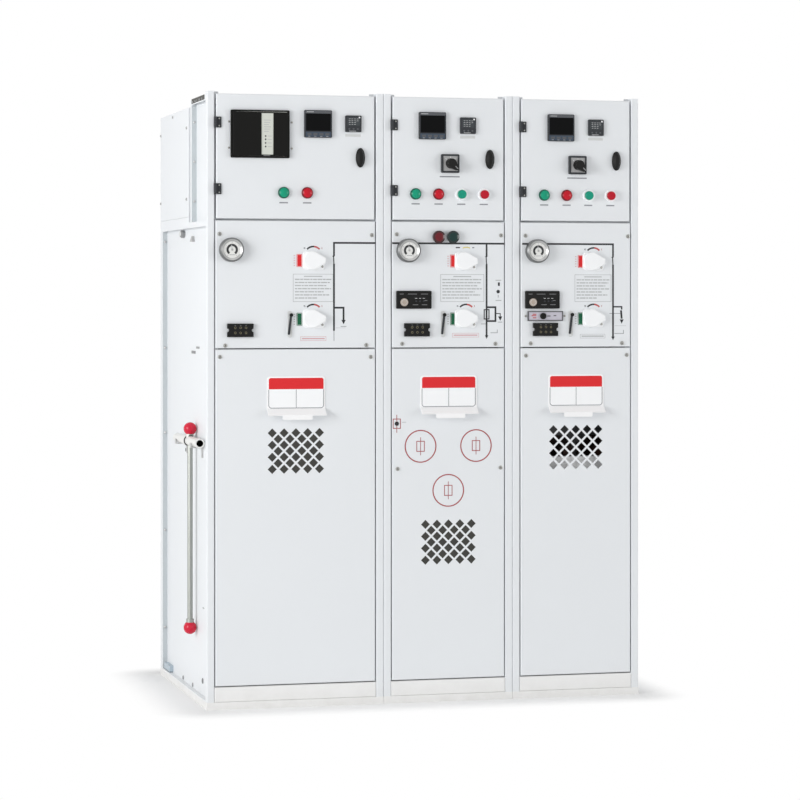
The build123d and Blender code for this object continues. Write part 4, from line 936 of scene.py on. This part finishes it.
class SWITCHGEAR_OT_mimic(bpy.types.Operator):
    """Print the mimic diagrams on the mechanism panels"""

    bl_idname = "switchgear.mimic"
    bl_label = "Print the Mimic Diagrams"

    def execute(self, context):
        wide = context.scene.row_sizes.print_line / MM
        thin = wide * 0.32

        def arrow(panel, place, tip, size=6):
            panel.plate([(place, tip), (place + size, tip + 2 * size), (place - size, tip + 2 * size)],
                        "ink")

        def feeder(panel, place, low):
            """The line down from the bus, broken by an open blade."""
            panel.upright(place, BUS_HEIGHT - wide / 2, 1247, wide, "ink")
            panel.line([(place, 1248), (place - 1.2, 1245), (place, 1224)], wide * 0.6, "ink")
            panel.rule(place - 5, place + 1, 1247, thin, "ink", PRINT * 1.2)
            panel.upright(place, 1226, low, wide, "ink")

        panel = front_of(0)
        place = FEEDERS[0]
        panel.rule(place - wide / 2, 476, BUS_HEIGHT, wide, "ink")
        feeder(panel, place, 1040)
        panel.upright(place, 1040, 1012, thin, "grey_ink")
        panel.line([(place + wide / 2, 1104), (385, 1104), (385, 1070)], wide, "ink")
        arrow(panel, 385, 1058)
        panel.rule(377, 393, 1052, thin, "grey_ink")
        panel.rule(362, 390, 1048, 0.8, "fine_ink")
        panel.finish("mimic_1", "cubicles", "black_plastic")

        panel = front_of(1)
        place = FEEDERS[1]
        panel.rule(24.5, 350.5, BUS_HEIGHT, wide, "ink")
        feeder(panel, place, 1025)
        arrow(panel, place, 1016, 5)
        panel.line([(place, 1105), (324.7, 1105), (324.7, 1066), (place, 1066)], wide, "ink", PRINT * 0.8)
        panel.border(place - 7, place + 7, 1072, 1098, 3, "ink", PRINT * 1.4)
        panel.line([(324.7, 1087), (338.7, 1087), (338.7, 1079)], thin * 1.5, "ink")
        arrow(panel, 338.7, 1067)
        panel.rule(332, 345, 1063, thin, "grey_ink")
        panel.rule(282, place, 1058, thin, "grey_ink", PRINT * 0.6)
        panel.dome(332.7, 1149, 5, 1.2, "ink", 0.0, 20, 3)
        panel.plate(rounded(332, 337.5, 1165, 1175), "ink")
        panel.upright(332.7, 1140, 1132, 1.6, "grey_ink")
        for height in (1181, 1124):
            panel.rule(325, 342, height, 2.2, "fine_ink")
        panel.line([(310, 1033), (330, 1033), (330, 1042)], thin, "grey_ink")
        panel.finish("mimic_2", "cubicles", "black_plastic")

        panel = front_of(2)
        place = FEEDERS[2]
        panel.rule(28.7, place + wide / 2, BUS_HEIGHT, wide, "ink")
        feeder(panel, place, 1020)
        arrow(panel, place, 1011, 5)
        panel.line([(place + wide / 2, 1106), (324.7, 1106), (324.7, 1098)], wide * 0.8, "ink")
        panel.line([(322.7, 1096), (324.7, 1072)], wide * 1.1, "ink")
        arrow(panel, 324.7, 1058)
        panel.rule(288, 320, 1087, thin, "grey_ink", PRINT * 0.6)
        panel.rule(303, 338, 1052, 0.8, "fine_ink")
        panel.line([(303, 1030), (330, 1030), (330, 1040)], thin, "grey_ink")
        panel.finish("mimic_3", "cubicles", "black_plastic")
        return {"FINISHED"}


class SWITCHGEAR_OT_labels(bpy.types.Operator):
    """Add the red and green labels, the ruled frames and the turning arcs"""

    bl_idname = "switchgear.labels"
    bl_label = "Add the Labels"

    def add_plates(self, drawing, start):
        """A red and a green plate, each with five marks beside it."""
        for low, tone, mark in ((RED_LABEL_LOW, "red_plate", "pale_red_ink"),
                                (GREEN_LABEL_LOW, "green_plate", "fine_ink")):
            for row in range(5):
                drawing.rule(start - 8.5, start - 4.5, low + 4 + 6.8 * row, 2.2, mark)
            drawing.plate(rounded(start, start + 15.5, low, low + 35.5, 1.2), tone, 0.8, 0.0, 0.2)
            drawing.border(start + 1.6, start + 13.9, low + 1.6, low + 33.9, 0.7, "white_plastic", 0.1, 0.8)

    def add_text(self, drawing, left, right):
        """A framed note of broken rules under a heading."""
        middle = (left + right) / 2
        drawing.border(left, right, TEXT_LOW, TEXT_HIGH, 1.2, "fine_ink")
        drawing.rule(middle - 26, middle + 26, TEXT_HIGH - 6, 2.6, "fine_ink")
        for row, short in enumerate(ROW_SHORTENINGS):
            start, end = left + 5, right - 5 - short
            for word in range(12):
                stop = min(end, start + WORD_LENGTHS[(row + word) % len(WORD_LENGTHS)])
                if stop - start > 2:
                    drawing.rule(start, stop, TEXT_HIGH - 14.5 - 8.6 * row, 3.0, "fine_ink")
                start = stop + 1.8

    def add_arc(self, drawing, middle, centre):
        """An arc for both ways of turning, with a ring and a dash at its ends."""
        drawing.band(middle, centre, 24.6, 4.4, 84, 136, "ink")
        drawing.band(middle, centre, 24.6, 4.4, 44, 84, "arc_red")
        drawing.ring(middle - 25, centre + 20, 2.4, 1.4, "ink", steps=16)
        drawing.upright(middle + 24.5, centre + 17.5, centre + 22.5, 1.2, "red_ink")

    def add_spring_arc(self, drawing, middle, top):
        """The arc over the spring's shaft, between two dashes."""
        drawing.band(middle, top - 26, 24, 3.2, 64, 116, "yellow_ink")
        drawing.rule(208.7, 220.7, top - 3, 3.2, "ink")
        drawing.rule(256.7, 262.7, top - 3, 3.2, "grey_ink")

    def execute(self, context):
        for bay in BAYS:
            drawing = front_of(bay)
            self.add_plates(drawing, RED_LABELS[bay])
            self.add_text(drawing, *TEXT_FRAMES[bay])
            left, right, low = NOTE_STRIPS[bay]
            tone = "fine_ink" if bay == 2 else "pale_red_ink"
            drawing.border(left, right, low, low + 11, 0.9, tone)
            drawing.rule(left + 4, right - 4, low + 5.5, 3.2, tone)
            for top in ARC_TOPS:
                if bay == 1 and top == ARC_TOPS[0]:
                    self.add_spring_arc(drawing, ARC_CENTRES[bay] + 1, top)
                else:
                    self.add_arc(drawing, ARC_CENTRES[bay], top - 26.6)
            drawing.finish(f"labels_{bay + 1}", "cubicles", "white_plastic")
        return {"FINISHED"}


class SWITCHGEAR_OT_shaft_covers(bpy.types.Operator):
    """Finish the shaft covers and add their screws"""

    bl_idname = "switchgear.shaft_covers"
    bl_label = "Finish the Shaft Covers"

    def execute(self, context):
        dress("shaft_covers", "white_plastic")
        for bay, place in enumerate(COVER_CENTRES):
            drawing = front_of(bay)
            for height in COVER_HEIGHTS:
                drawing.plate(rounded(place - 26, place + 14, height - 26, height + 26, 12), "white_plastic",
                              6.0, 0.0, 1.5)
                drawing.plate(rounded(place - 6, place + 36, height - 26, height - 6, 7), "white_plastic",
                              4.0, 0.0, 1.2)
                drawing.dome(place + 30, height - 17, 3.6, 1.6, "screw_steel", 4.0, 16, 3, 0.6)
            drawing.finish(f"shaft_cover_screws_{bay + 1}", "cubicles", "white_plastic")
        return {"FINISHED"}


class SWITCHGEAR_OT_indicators(bpy.types.Operator):
    """Finish the fault and voltage indicators, the key interlock and its levers"""

    bl_idname = "switchgear.indicators"
    bl_label = "Finish the Indicators"

    def add_fault_faces(self):
        middle = sum(span("fault_indicators")[2:]) / 2
        face = 7.0
        buttons = [STARTS[bay] + place - 28.5 for bay, place in FAULT_INDICATORS]

        def choose(x, out, z):
            return out > 7.3 and min(math.hypot(x - place, z - middle + 7) for place in buttons) < 11.2

        dress("fault_indicators", "black_plastic", "beige_button", choose=choose)
        for bay, place in FAULT_INDICATORS:
            drawing = front_of(bay)
            for centre in (place + 6, place + 17, place + 28):
                drawing.dome(centre, middle - 4, 2.6, 1.0, "dark_plastic", face, 14, 3, 0.6)
                drawing.rule(centre - 3, centre + 3, middle + 4, 1.2, "pale_plastic", 0.12, face)
            for start, end, height in ((-42, -30, 16), (-18, 8, 16), (20, 40, 16), (-4, 12, -14),
                                       (22, 38, -14), (28, 38, -2)):
                drawing.rule(place + start, place + end, middle + height, 1.2, "grey_plastic", 0.12, face)
            drawing.ring(place - 28.5, middle - 7, 8.2, 7.2, "pale_plastic", 0.2, 10.0)
            drawing.finish(f"fault_face_{bay + 1}", "cubicles", "black_plastic")

    def add_voltage_faces(self):
        dress("voltage_indicators", "black_plastic")
        middle = sum(span("voltage_indicators")[2:]) / 2
        face = 9.0
        for bay, place in enumerate(VOLTAGE_INDICATORS):
            drawing = front_of(bay)
            for centre in (place - 15, place, place + 15):
                for row in (-7, 7):
                    drawing.ring(centre, middle + row, 3.1, 2.3, "brass", 0.3, face, 20)
                drawing.rule(centre - 2, centre + 2, middle + 13.5, 0.8, "grey_plastic", 0.12, face)
            drawing.finish(f"voltage_face_{bay + 1}", "cubicles", "black_plastic")

    def add_interlock_face(self):
        left, _, bottom, top = span("key_interlock")
        middle = (bottom + top) / 2
        face = 4.0

        def choose(x, out, z):
            if math.hypot(x - left - 45, z - middle) < 9.2 and out > face + 0.1:
                return 2
            return out < face + 0.3 and abs(x - left - 52) < 49.2 and abs(z - middle) < 11.2

        dress("key_interlock", "lock_frame", "lock_plate", "black_plastic", choose=choose)
        drawing = front_of(0)
        for start, end, height, width, tone in ((14, 25, 5, 2.6, "arc_red"), (11, 25, 1, 2.6, "arc_red"),
                                                (15, 25, -5, 2.6, "arc_red"), (57, 67, 0, 2.4, "ink"),
                                                (76, 84, 1, 2.4, "ink")):
            drawing.rule(left + start, left + end, middle + height, width, tone, 0.12, face)
        for place in (left - 5.5, left + 109.5):
            drawing.screw(place, middle, 3.0)
        drawing.finish("key_interlock_face", "cubicles", "grey_plastic")

    def execute(self, context):
        self.add_fault_faces()
        self.add_voltage_faces()
        self.add_interlock_face()
        dress("interlock_levers", "pale_plastic", "black_plastic", "dark_plastic",
              choose=lambda x, out, z: 1 if out > 6.1 else 2 * (out > 3.05))
        return {"FINISHED"}


class SWITCHGEAR_OT_signs(bpy.types.Operator):
    """Add the bare header plates on the cover handles"""

    bl_idname = "switchgear.signs"
    bl_label = "Add the Sign Plates"

    def execute(self, context):
        sizes = context.scene.row_sizes
        wide, tall = sizes.sign_width / MM, sizes.sign_height / MM
        top = span("cover_handles")[3] - 3
        foot = top - tall
        header_low, print_base = top - 32, 2.6
        for bay in BAYS:
            middle = (ENDS[bay] - STARTS[bay]) / 2
            left, right = middle - wide / 2, middle + wide / 2
            drawing = front_of(bay)
            drawing.plate(rounded(left, right, foot, top, 7), "white_plastic", 0.6, 2.0, 0.2)
            header = rounded(left + 1, right - 1, header_low, top - 1, 6)
            header = [point for point in header if point[1] > top - 20]
            corners = [(left + 1, header_low), (right - 1, header_low)]
            drawing.plate(corners + header, "red_plate", 0.12, print_base)
            edge = [(left + 1, top - 33), (left + 1, foot + 7), (left + 3.1, foot + 3.1),
                    (left + 7, foot + 1)]
            edge += [(left + right - u, v) for u, v in reversed(edge)]
            drawing.line(edge, 2.0, "grey_ink", 0.12, print_base)
            drawing.line([(middle, top - 33), (middle, foot + 2)], 1.8, "grey_ink", 0.1, print_base)
            drawing.finish(f"sign_{bay + 1}", "cubicles", "white_plastic")
        return {"FINISHED"}


class SWITCHGEAR_OT_fuse_marks(bpy.types.Operator):
    """Print the red fuse rings and symbols on the second cover"""

    bl_idname = "switchgear.fuse_marks"
    bl_label = "Print the Fuse Marks"

    def execute(self, context):
        sizes = context.scene.row_sizes
        outer = sizes.ring_radius / MM
        drawing = front_of(1)

        def symbol(place, height, wide, tall):
            drawing.border(place - wide, place + wide, height - tall, height + tall, 2.1, "red_ink")
            drawing.upright(place, height - 25, height + 25, 1.7, "red_ink", PRINT * 1.3)

        for place, height in FUSE_RINGS:
            drawing.ring(place, height, outer, outer - sizes.ring_line / MM, "red_ink", steps=72)
            symbol(place, height, 11, 14)
        place, height = SMALL_FUSE
        symbol(place, height, 10.5, 13)
        drawing.dome(place, height, 6, 1.6, "ink", 0.0, 20, 4, 0.8)
        drawing.rule(place + 15, place + 27, height + 4, 1.0, "grey_ink")
        drawing.finish("fuse_marks", "cubicles", "red_plastic")
        return {"FINISHED"}


class SWITCHGEAR_OT_screws(bpy.types.Operator):
    """Add the screws of the panels and covers"""

    bl_idname = "switchgear.screws"
    bl_label = "Add the Screws"

    def execute(self, context):
        radius = context.scene.row_sizes.screw_radius / MM
        for bay, places in enumerate(PANEL_SCREWS):
            drawing = front_of(bay)
            for count, (place, height) in enumerate(places):
                drawing.screw(place, height, radius, 35 * count + 12)
            drawing.finish(f"panel_screws_{bay + 1}", "cubicles", "galvanised_steel")
        return {"FINISHED"}


class SWITCHGEAR_OT_lever(bpy.types.Operator):
    """Finish the operating lever on the left side"""

    bl_idname = "switchgear.lever"
    bl_label = "Finish the Lever"

    def execute(self, context):
        left, right, bottom, top = span("operating_lever")
        balls = (top - 18.5, bottom + 18.5)

        def choose(x, out, z):
            away, depth = x - (left + right) / 2, -LEVER_DEPTH - out
            if min(math.dist((away, depth, z), (0, 0, ball)) for ball in balls) < 18.8:
                return 0
            if abs(z - HUB_HEIGHT) >= 16.5:
                return 2
            # The tube's open end takes black plastic: painted shade inside the bore.
            bore = math.hypot(away, z - HUB_HEIGHT) < 10.5
            clamp = abs(abs(depth) - 12) < 3.5
            return 3 if bore or clamp else 1

        dress("operating_lever", "ball_red", "lever_paint", "rod_steel", "black_plastic", choose=choose)
        return {"FINISHED"}


class SWITCHGEAR_OT_side(bpy.types.Operator):
    """Add the bolts, plugs and fittings on the left side"""

    bl_idname = "switchgear.side"
    bl_label = "Add the Side Fittings"

    def execute(self, context):
        wall = left_side(RECESS)
        knob_rise = 12.5
        wall.plate(circle(-KNOB_DEPTH, KNOB_HEIGHT, 22, 28, 11), "grey_plastic", knob_rise, 0.0, 4)
        wall.plate(circle(-KNOB_DEPTH, KNOB_HEIGHT + 1, 15, 28, 7.5), "pale_plastic", 0.5, knob_rise, 0.2)
        wall.plate([(-300, 1291), (-262, 1291), (-270, 1307)], "scale_grey", 9, 0.0, 1)
        wall.plate(rounded(-312, -252, 973, 981, 3), "fitting_grey", 1.2, 0.0, 0.3)
        wall.plate(rounded(-237, -190, 988, 994, 2.5), "grey_plastic", 1.2, 0.0, 0.3)
        wall.dome(-407, 693, 6, 2.4, "fitting_grey", 0.0, 16, 3)
        wall.dome(-136, 62, 8, 2.6, "fitting_grey", 0.0, 20, 4, 1.0)
        wall.plate(rounded(-140, -116, 264, 268, 1.5), "fine_ink", 0.5)
        for depth in (448, 293):
            wall.dome(-depth, 30, 6, 2.4, "grey_plastic", 0.0, 16, 3, 1.0)
        wall.plate(rounded(-712, -620, 24, 42, 2), "zinc_blue", 12.0, 0.0, 0.8)
        wall.finish("side_fittings", "cubicles", "grey_plastic")

        ends = left_side()
        for depth, height in SIDE_SCREWS:
            ends.screw(-depth, height, 4.2, depth, "bezel_pale")
        ends.finish("side_screws", "cubicles", "galvanised_steel")

        # A dark strip under the roof rail, with a few grey bits on it, is painted shade of the gap there.
        gap_shade = left_side()
        gap_shade_rise = 1.2
        gap_shade.plate(rounded(-232, -36, GAP_SHADE_LOW, GAP_SHADE_HIGH), "roof_seal", gap_shade_rise)
        for depth, long in ((62, 12), (101, 16), (140, 8), (166, 14), (204, 17)):
            gap_shade.plate(rounded(-depth - long, -depth, GAP_SHADE_LOW + 1, GAP_SHADE_HIGH - 6, 1), "fitting_grey", 1.0,
                       gap_shade_rise, 0.3)
        gap_shade.finish("roof_seal", "cubicles", "black_plastic")

        for depth, heights, place, radius in ((BOX_FLANGE, BOX_BOLTS, 7.5, 3.4),
                                              (REAR_FLANGE, REAR_BOLTS, 7, 4)):
            flange = Drawing((LEFT, FRONT + depth * MM, 0))
            for height in heights:
                flange.dome(place, height, radius, radius * 0.5, "zinc", wall=radius * 0.4)
            flange.finish(f"flange_bolts_{depth:.0f}", "cubicles", "galvanised_steel")
        return {"FINISHED"}


class SWITCHGEAR_OT_rear(bpy.types.Operator):
    """Add the screws of the rear panels and the rear boxes"""

    bl_idname = "switchgear.rear"
    bl_label = "Add the Rear Screws"

    def execute(self, context):
        drawing = Drawing((LEFT, REAR, 0), (-1, 0, 0))
        for left, right in zip(STARTS, ENDS):
            for place in (left + POST + 14, (left + right) / 2, right - POST - 14):
                for height in REAR_PANEL_SCREWS:
                    drawing.screw(-place, height, 4.4, place + height)
            for place in (left + RECESS + 22, right - RECESS - 22):
                for height in REAR_BOX_SCREWS:
                    drawing.screw(-place, height, 4.0, place)
        drawing.finish("rear_screws", "cubicles", "galvanised_steel")
        return {"FINISHED"}


def seen_directly(tree):
    """One for rays of the camera, of reflections and through clear things, zero for the others."""
    path = add_node(tree, "LightPath").outputs
    seen = math_node(tree, "MAXIMUM", path["Is Camera Ray"], path["Is Glossy Ray"])
    return math_node(tree, "MAXIMUM", seen, path["Is Transmission Ray"])


def show_white(tree, share, plain, white, output):
    """Lead a mix of the plain and the white shader to the output."""
    blend = add_node(tree, "MixShader", {0: share, 1: plain.outputs[0], 2: white.outputs[0]})
    feed(tree, tree.nodes[output], {"Surface": blend.outputs[0]})


class SWITCHGEAR_OT_stage(bpy.types.Operator):
    """Add the floor, the backdrop, the lights and the camera"""

    bl_idname = "switchgear.stage"
    bl_label = "Set the Stage"

    def add_floor(self):
        """A pale floor that keeps the shadow near the row and turns plain white further off."""
        mesh = bpy.data.meshes.new("floor")
        form = bmesh.new()
        bmesh.ops.create_grid(form, x_segments=1, y_segments=1, size=40)
        form.to_mesh(mesh)
        form.free()
        floor = add_object("floor", mesh)
        material, tree, shader = new_material("floor_white", (0.96, 0.96, 0.96), 0.9)
        feed(tree, shader, {"Specular IOR Level": 0.1})
        away = object_place(tree)
        for operation, other in (("ABSOLUTE", (0, 0, 0)),
                                 ("SUBTRACT", (-LEFT, (REAR - FRONT) / 2, 0)),
                                 ("MAXIMUM", (0, 0, 0))):
            away = add_node(tree, "VectorMath", {0: away, 1: other}, operation=operation).outputs[0]
        away = add_node(tree, "VectorMath", {0: away}, operation="LENGTH").outputs["Value"]
        far = add_node(tree, "MapRange", {"From Max": SHADOW_REACH, "Value": away},
                       interpolation_type="SMOOTHSTEP").outputs["Result"]
        white = add_node(tree, "Emission", {"Color": WHITE})
        share = math_node(tree, "MULTIPLY", seen_directly(tree), far)
        show_white(tree, share, shader, white, "Material Output")
        mesh.materials.append(material)

    def add_lamp(self, name, place, size, power):
        light = bpy.data.lights.new(name, "AREA")
        light.shape = "RECTANGLE"
        light.size, light.size_y = size
        light.energy = power
        lamp = add_object(name, light)
        lamp.location = place
        way = Vector(LAMP_TARGET) - Vector(place)
        lamp.rotation_euler = way.to_track_quat("-Z", "Y").to_euler()

    def add_camera(self, scene):
        camera_data = bpy.data.cameras.new("camera")
        camera_data.sensor_width = SENSOR_MM
        camera_data.lens = FOCAL_PIXELS / PICTURE_PIXELS * SENSOR_MM
        camera_data.shift_y = (HORIZON_PIXEL - PICTURE_PIXELS / 2) / PICTURE_PIXELS
        camera = add_object("camera", camera_data)
        camera.location = CAMERA_PLACE
        camera.rotation_euler = (math.pi / 2, 0, -CAMERA_YAW)
        scene.camera = camera

    def add_world(self, scene):
        """Soft even light, seen as plain white."""
        world = bpy.data.worlds.new("studio")
        world.use_nodes = True
        scene.world = world
        tree = world.node_tree
        ambient = tree.nodes["Background"]
        feed(tree, ambient, {"Color": WHITE, "Strength": AMBIENT_LIGHT})
        white = add_node(tree, "Background", {"Color": WHITE})
        show_white(tree, seen_directly(tree), ambient, white, "World Output")

    def execute(self, context):
        self.add_floor()
        self.add_lamp("key_light", (-5.5, -3.1, 1.8), SOFT_BOX, 212)
        self.add_lamp("fill_light", (5.4, -3.6, 1.5), SOFT_BOX, 104)
        self.add_lamp("top_light", (0.0, 0.4, 5.0), TOP_BOX, 22)
        self.add_camera(context.scene)
        self.add_world(context.scene)
        context.scene.view_settings.view_transform = "Standard"
        return {"FINISHED"}


OPERATORS = (
    SWITCHGEAR_OT_housing,
    SWITCHGEAR_OT_inside,
    SWITCHGEAR_OT_hinges,
    SWITCHGEAR_OT_relay,
    SWITCHGEAR_OT_meters,
    SWITCHGEAR_OT_lamps,
    SWITCHGEAR_OT_controls,
    SWITCHGEAR_OT_gauges,
    SWITCHGEAR_OT_mimic,
    SWITCHGEAR_OT_labels,
    SWITCHGEAR_OT_shaft_covers,
    SWITCHGEAR_OT_indicators,
    SWITCHGEAR_OT_signs,
    SWITCHGEAR_OT_fuse_marks,
    SWITCHGEAR_OT_screws,
    SWITCHGEAR_OT_lever,
    SWITCHGEAR_OT_side,
    SWITCHGEAR_OT_rear,
    SWITCHGEAR_OT_stage,
)


class SWITCHGEAR_PT_row(bpy.types.Panel):
    """Sizes, colours and steps of the switchgear row"""

    bl_idname = "SWITCHGEAR_PT_row"
    bl_label = "Switchgear Row"
    bl_space_type = "VIEW_3D"
    bl_region_type = "UI"
    bl_category = "Switchgear"

    def draw(self, context):
        layout = self.layout
        for title, group in (("Sizes", context.scene.row_sizes), ("Colours", context.scene.row_colours)):
            box = layout.box()
            box.label(text=title)
            for name in group.__annotations__:
                box.prop(group, name)
        column = layout.column(align=True)
        for operator in OPERATORS:
            column.operator(operator.bl_idname)


CLASSES = (RowSizes, RowColours, *OPERATORS, SWITCHGEAR_PT_row)


def register():
    for cls in CLASSES:
        bpy.utils.register_class(cls)
    bpy.types.Scene.row_sizes = PointerProperty(type=RowSizes)
    bpy.types.Scene.row_colours = PointerProperty(type=RowColours)


def unregister():
    del bpy.types.Scene.row_colours
    del bpy.types.Scene.row_sizes
    for cls in reversed(CLASSES):
        bpy.utils.unregister_class(cls)


def main():
    register()
    for operator in OPERATORS:
        group, name = operator.bl_idname.split(".")
        getattr(getattr(bpy.ops, group), name)()


if __name__ == "__main__":
    main()
